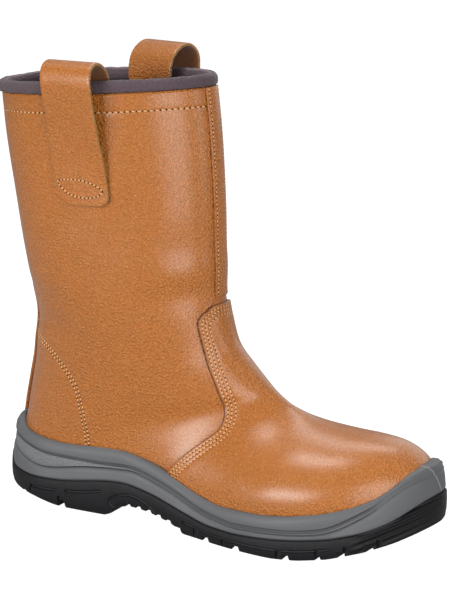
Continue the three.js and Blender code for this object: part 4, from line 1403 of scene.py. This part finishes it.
def leather_hits(ring, heights, pieces):
    """How far in from the outline the leather stands at each of its points."""
    trees = [BVHTree.FromPolygons([v.co for v in piece.data.vertices],
                                  [p.vertices for p in piece.data.polygons])
             for piece in pieces]
    found = []
    for point, step, height in zip(ring, inset_ring(ring, 1.0) - ring, heights):
        start = Vector(to_row([*point, height]))
        way = Vector((step[0], step[1], 0)).normalized()
        hits = [tree.ray_cast(start, way, LEATHER_REACH * MM)[3] for tree in trees]
        found.append(min([hit / MM for hit in hits if hit is not None], default=NO_LEATHER))
    smoothed = np.array(found)
    for _ in range(3):
        smoothed = (np.roll(smoothed, 1) + smoothed * 2 + np.roll(smoothed, -1)) / 4
    return smoothed


# The foam's lip on the leather: distance in from the leather's face, drop under the rim
FOAM_LIP = ((1.3, 3.4), (0.9, 1.7), (0.1, 0.75), (-0.5, 0.3))
STIPPLED_ROWS = range(10, 13)
STREAKED_ROWS = range(2, 8)
FOAM_SHARP_ANGLE = 38
RUBBER_SHARP_ANGLE = 32


def make_midsole():
    """Grey foam: rim, stippled heel band, grooves and toe bumper."""
    ring = outline_ring(9)
    rim = line_round("rim", ring)
    leather = [bpy.data.objects["vamp_leather"], bpy.data.objects["upper_leather"]]
    contact = leather_hits(ring, rim - 0.8, leather)
    walls = wall_rings(GREY_WALL, ring)
    levels = [(FOAM_LIP[0][0], np.minimum(line_round("seat", ring), rim - 6))]
    levels += [(extra, rim - drop) for extra, drop in FOAM_LIP]
    lip = [np.column_stack([inset_ring(ring, contact + extra), level])
           for extra, level in levels]
    walls[0][:, :2] = inset_ring(ring, np.maximum(contact - 1.3, 5.6))
    stipple = [np.zeros(len(ring))] * len(lip)
    stipple += [(k in STIPPLED_ROWS) * (1 - fade(one[:, 0], 100, 116))
                for k, one in enumerate(walls)]
    body = ring_solid("midsole_foam", lip + walls, {"stipple": np.concatenate(stipple)})
    body.data.set_sharp_from_angle(angle=math.radians(FOAM_SHARP_ANGLE))
    return body


def cutter(name, parts):
    """One mesh of closed boxes that cut the tread; each part is (corners below, corners above)."""
    points, faces = [], []
    for corners in parts:
        first = len(points)
        points += corners
        half = len(corners) // 2
        faces.append([first + k for k in range(half)][::-1])
        faces.append([first + half + k for k in range(half)])
        for k in range(half):
            n = (k + 1) % half
            faces.append([first + k, first + n, first + half + n, first + half + k])
    return new_piece(name, points, faces, smooth=False)


def channel_corners(station, width, depth, turn, height):
    """A tapered channel right across the sole."""
    top = line_height("tread", np.array([station]))[0] + depth
    slope = math.tan(math.radians(turn))
    corners = []
    for level, half in ((top - height, width / 2 + 2), (top, width / 2 - 0.4)):
        for x, y in ((-half, -90), (half, -90), (half, 90), (-half, 90)):
            corners.append((station + x - y * slope, y, level))
    return corners


def slot_corners(station, width, depth, side):
    """A short upright slot in the side face over a channel's mouth."""
    half = width / 2 - 0.5
    edge = outline_edge(station, side)
    near, far = side * (edge - SIDE_SLOT["depth"]), side * (edge + 8)
    top = line_height("tread", np.array([station]))[0] + depth + SIDE_SLOT["rise"]
    return [(station + x, y, level) for level in (top - 20, top)
            for x, y in ((-half, near), (half, near), (half, far), (-half, far))]


def swept_knife(name, rings):
    """A closed cutter through rings of equal count."""
    count = len(rings[0])
    faces = ring_faces(len(rings), count)
    faces.append(list(range(count))[::-1])
    faces.append([(len(rings) - 1) * count + k for k in range(count)])
    return new_piece(name, np.concatenate(rings), faces, smooth=False, merge=0.001)


def run_rings(start, end, across, width, depth):
    """Rings of a channel along the tread."""
    stations = np.linspace(start, end, 60)
    tops = line_height("tread", stations) + depth
    low, high = width / 2, width / 2 - 0.5
    return [np.array([(x, across - low, -12), (x, across + low, -12),
                      (x, across + high, top), (x, across - high, top)])
            for x, top in zip(stations, tops)]


def side_groove_rings(path, side):
    """Rings of a thin round groove along a side face."""
    x, z = fine_path(path["x"], path["z"], 1.5)
    edge = outline_edge(x, side)
    along_x, along_z = np.gradient(x), np.gradient(z)
    size = np.hypot(along_x, along_z)
    turns = np.linspace(0, 2 * math.pi, 8, endpoint=False)
    out, across = SIDE_GROOVE_RADIUS * np.cos(turns), SIDE_GROOVE_RADIUS * np.sin(turns)
    return [np.column_stack([px - across * az / step, side * (wall - 0.15 + out),
                             pz + across * ax / step])
            for px, pz, wall, ax, az, step in zip(x, z, edge, along_x, along_z, size)]


def make_outsole():
    """Black outsole with its lugs, waist ribs, side grooves and toe guard."""
    ring = outline_ring(9)
    rings = wall_rings(BLACK_WALL, ring)
    streaks = [fade(one[:, 0], 262, 274) * (k in STREAKED_ROWS)
               for k, one in enumerate(rings)]
    body = ring_solid("outsole_rubber", rings, {"streaks": np.concatenate(streaks)})
    channels = list(zip(*CHANNELS.values()))
    knives = [cutter("cross_knife", [channel_corners(s, w, d, t, d + 12)
                                     for s, w, d, t in channels])]
    pitch = (WAIST_RIBS["end"] - WAIST_RIBS["start"]) / (WAIST_RIBS["count"] - 1)
    gap = pitch - WAIST_RIBS["width"] + 0.8
    stations = [WAIST_RIBS["start"] + pitch * (k + 0.5) for k in range(WAIST_RIBS["count"])]
    knives.append(cutter("rib_knife", [channel_corners(s, gap, WAIST_RIBS["height"], 0, 14)
                                       for s in stations]))
    for side in (-1, 1):
        knives.append(cutter("slot_knife", [slot_corners(s, w, d, side)
                                            for s, w, d, _ in channels]))
        knives += [swept_knife("groove_knife", side_groove_rings(path, side))
                   for path in SIDE_GROOVES]
    knives += [swept_knife("run_knife", run_rings(*row)) for row in zip(*RUNS.values())]
    for knife in knives:
        face_outwards(knife.data)
        cut = body.modifiers.new("Cut", "BOOLEAN")
        cut.operation = "DIFFERENCE"
        cut.solver = "EXACT"
        cut.object = knife
    as_plain_mesh(body)
    for knife in knives:
        bpy.data.objects.remove(knife)
    body.data.polygons.foreach_set("use_smooth", [True] * len(body.data.polygons))
    body.data.set_sharp_from_angle(angle=math.radians(RUBBER_SHARP_ANGLE))
    return body


# Operators
def dress(piece, material, slot, *replaced):
    """Gives a piece its material and lets it stand for the solids it replaces."""
    set_materials(piece, material_of(material))
    finish_piece(piece, slot, *replaced)


class BOOT_OT_materials(bpy.types.Operator):
    """Makes the boot's materials."""

    bl_idname = "boot.materials"
    bl_label = "Materials"

    def execute(self, context):
        sizes, looks = settings()
        grain_group()
        speckle_group()
        leather_material("tan_leather", looks, sizes, tuple(looks.cut_edge))
        leather_material("strap_leather", looks, sizes, tuple(looks.raw_edge))
        suede_material(looks)
        foam_material(looks)
        rubber_material(looks)
        for name, colour, cells, depth, rough, sheen in (
                ("roll_cloth", looks.collar, 620.0, 0.0012, 0.62, 0.15),
                ("inner_cloth", looks.lining, 900.0, 0.0006, 0.92, 0.3),
                ("sewing_thread", looks.thread, 2500.0, 0.0001, 0.7, 0.1)):
            cloth_material(name, tuple(colour), cells, depth, rough, sheen)
        # Dark brown painted shade for the needle holes
        plain_material("needle_hole_shade", srgb(40, 20, 10), 0.9)
        return {"FINISHED"}


class BOOT_OT_leather(bpy.types.Operator):
    """Makes the upper, the vamp and the two strips over the seams."""

    bl_idname = "boot.leather"
    bl_label = "Leather"

    def execute(self, context):
        sizes, _ = settings()
        dress(make_upper(sizes), "tan_leather", "leather", "upper")
        dress(make_vamp(sizes), "tan_leather", "leather", "vamp")
        for name in STRIPS:
            dress(make_strip(name, sizes), "tan_leather", "leather", name)
        return {"FINISHED"}


class BOOT_OT_straps(bpy.types.Operator):
    """Makes the two pull loops."""

    bl_idname = "boot.straps"
    bl_label = "Pull loops"

    def execute(self, context):
        for name in PULL_LOOPS:
            finish_piece(make_strap(name), "leather", name)
        return {"FINISHED"}


class BOOT_OT_cloth(bpy.types.Operator):
    """Makes the collar's roll, the lining and the sock of the insole."""

    bl_idname = "boot.cloth"
    bl_label = "Collar and lining"

    def execute(self, context):
        sizes, _ = settings()
        roll = make_roll()
        dress(roll, "roll_cloth", "collar_fabric", "collar_binding")
        dress(make_lining(sizes), "inner_cloth", "lining")
        set_materials(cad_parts["insole"], material_of("inner_cloth"))
        return {"FINISHED"}


class BOOT_OT_sole(bpy.types.Operator):
    """Makes the grey midsole and the black outsole."""

    bl_idname = "boot.sole"
    bl_label = "Sole"

    def execute(self, context):
        dress(make_midsole(), "moulded_foam", "grey_foam", "midsole")
        dress(make_outsole(), "moulded_rubber", "black_rubber", "outsole")
        return {"FINISHED"}


class BOOT_OT_seams(bpy.types.Operator):
    """Sews the seams: collar, counter, vamp, strips and strap eyes."""

    bl_idname = "boot.seams"
    bl_label = "Seams"

    def execute(self, context):
        sizes, _ = settings()
        if not SEAMS:
            raise RuntimeError("make the leather before its seams")
        for name, seams in SEAMS.items():
            pitch = sizes.collar_pitch if name == "collar" else sizes.vamp_pitch
            sew(name, seams, pitch / MM, sizes)
        return {"FINISHED"}


# Each lamp: name, place, breadth and height in metres, and power in watts
STUDIO = {
    "ambient": 0.21, "backdrop": 1.1, "floor_glow": 0.12, "floor_seen": 1.0,
    "lamps": (
        ("key", (0.95, -0.95, 0.42), 0.75, 0.9, 9.5),
        ("side", (1.4, -0.1, 0.5), 0.4, 0.85, 3.0),
        ("over", (-0.36, -0.14, 1.25), 0.36, 0.3, 4.2),
        ("above", (-0.2, 0.62, 1.1), 0.8, 0.35, 4.0),
        ("left", (-0.42, -1.2, 0.45), 0.7, 0.35, 10.0),
        ("back", (0.3, 1.2, 0.55), 1.4, 0.8, 3.5),
    ),
}


def seen_share(nodes, links, seen, as_light):
    """One value where the camera looks straight at a thing, another for its light."""
    straight = nodes.new("ShaderNodeLightPath").outputs["Is Camera Ray"]
    more = math_node(nodes, links, "MULTIPLY", straight, seen - as_light)
    return math_node(nodes, links, "ADD", more, as_light)


def floor_material(looks):
    """A pale floor that glows a little, so the picture's ground stays white."""
    material, shader, nodes, links = start_material("floor", rough=0.9, specular=0.2)
    shader.inputs["Base Color"].default_value = (*looks.floor, 1.0)
    shader.inputs["Emission Color"].default_value = (1, 1, 1, 1)
    links.new(seen_share(nodes, links, STUDIO["floor_seen"], STUDIO["floor_glow"]),
              shader.inputs["Emission Strength"])


def studio_world():
    """A pale surround, brighter where the camera sees it than where it lights the boot."""
    world = bpy.data.worlds.new("studio")
    world.use_nodes = True
    nodes, links = world.node_tree.nodes, world.node_tree.links
    sky = nodes["Background"]
    sky.inputs["Color"].default_value = (1, 1, 1, 1)
    links.new(seen_share(nodes, links, STUDIO["backdrop"], STUDIO["ambient"]),
              sky.inputs["Strength"])
    return world


# The camera fitted to the picture: eye in mm, angles in degrees, focal length in pixels
CAMERA = {"eye": (721.9, -1029.4, 420.9), "tilt": 76.12, "azimuth": 29.06, "focal": 1953.0,
          "picture_height": 600.0, "shift": (0.0114, 0.026)}
SENSOR = 36.0
FLOOR_HALF = 6.0
AIM = (0.02, 0, 0.12)


class BOOT_OT_stage(bpy.types.Operator):
    """Makes the floor, the lights and the camera."""

    bl_idname = "boot.stage"
    bl_label = "Stage"

    def execute(self, context):
        _, looks = settings()
        floor_mesh = bpy.data.meshes.new("floor")
        corners = [(x * FLOOR_HALF, y * FLOOR_HALF, 0)
                   for x, y in ((-1, -1), (1, -1), (1, 1), (-1, 1))]
        floor_mesh.from_pydata(corners, [], [(0, 1, 2, 3)])
        floor = bpy.data.objects.new("floor", floor_mesh)
        context.scene.collection.objects.link(floor)
        floor_material(looks)
        set_materials(floor, material_of("floor"))
        context.scene.world = studio_world()
        for name, place, size_x, size_y, power in STUDIO["lamps"]:
            lamp = bpy.data.lights.new(name, "AREA")
            lamp.shape = "RECTANGLE"
            lamp.size, lamp.size_y = size_x, size_y
            lamp.energy = power
            light = bpy.data.objects.new(name, lamp)
            light.location = place
            aim = Vector(AIM) - Vector(place)
            light.rotation_euler = aim.to_track_quat("-Z", "Y").to_euler()
            context.scene.collection.objects.link(light)
        lens = bpy.data.cameras.new("camera")
        camera = bpy.data.objects.new("camera", lens)
        camera.location = to_row(CAMERA["eye"])
        camera.rotation_euler = (math.radians(CAMERA["tilt"]), 0.0,
                                 math.radians(CAMERA["azimuth"]))
        lens.sensor_width = SENSOR
        lens.lens = CAMERA["focal"] * SENSOR / CAMERA["picture_height"]
        lens.shift_x, lens.shift_y = CAMERA["shift"]
        lens.clip_end = 50.0
        context.scene.collection.objects.link(camera)
        context.scene.camera = camera
        context.scene.view_settings.view_transform = "Standard"
        return {"FINISHED"}


class BOOT_PT_panel(bpy.types.Panel):
    """The boot's sizes, colours and steps."""

    bl_label = "Rigger boot"
    bl_idname = "BOOT_PT_panel"
    bl_space_type = "VIEW_3D"
    bl_region_type = "UI"
    bl_category = "Boot"

    def draw(self, context):
        for group in (context.scene.boot_sizes, context.scene.boot_looks):
            box = self.layout.box()
            for key in group.__annotations__:
                box.prop(group, key)
        for operator in OPERATORS:
            self.layout.operator(operator.bl_idname)


OPERATORS = (BOOT_OT_materials, BOOT_OT_leather, BOOT_OT_straps, BOOT_OT_cloth, BOOT_OT_sole,
             BOOT_OT_seams, BOOT_OT_stage)
CLASSES = (BootSizes, BootLooks, *OPERATORS, BOOT_PT_panel)


def register():
    for item in CLASSES:
        bpy.utils.register_class(item)
    bpy.types.Scene.boot_sizes = bpy.props.PointerProperty(type=BootSizes)
    bpy.types.Scene.boot_looks = bpy.props.PointerProperty(type=BootLooks)


def unregister():
    del bpy.types.Scene.boot_looks
    del bpy.types.Scene.boot_sizes
    for item in reversed(CLASSES):
        bpy.utils.unregister_class(item)


def main():
    register()
    bpy.ops.boot.materials()
    bpy.ops.boot.leather()
    bpy.ops.boot.straps()
    bpy.ops.boot.cloth()
    bpy.ops.boot.sole()
    bpy.ops.boot.seams()
    bpy.ops.boot.stage()


if __name__ == "__main__":
    main()
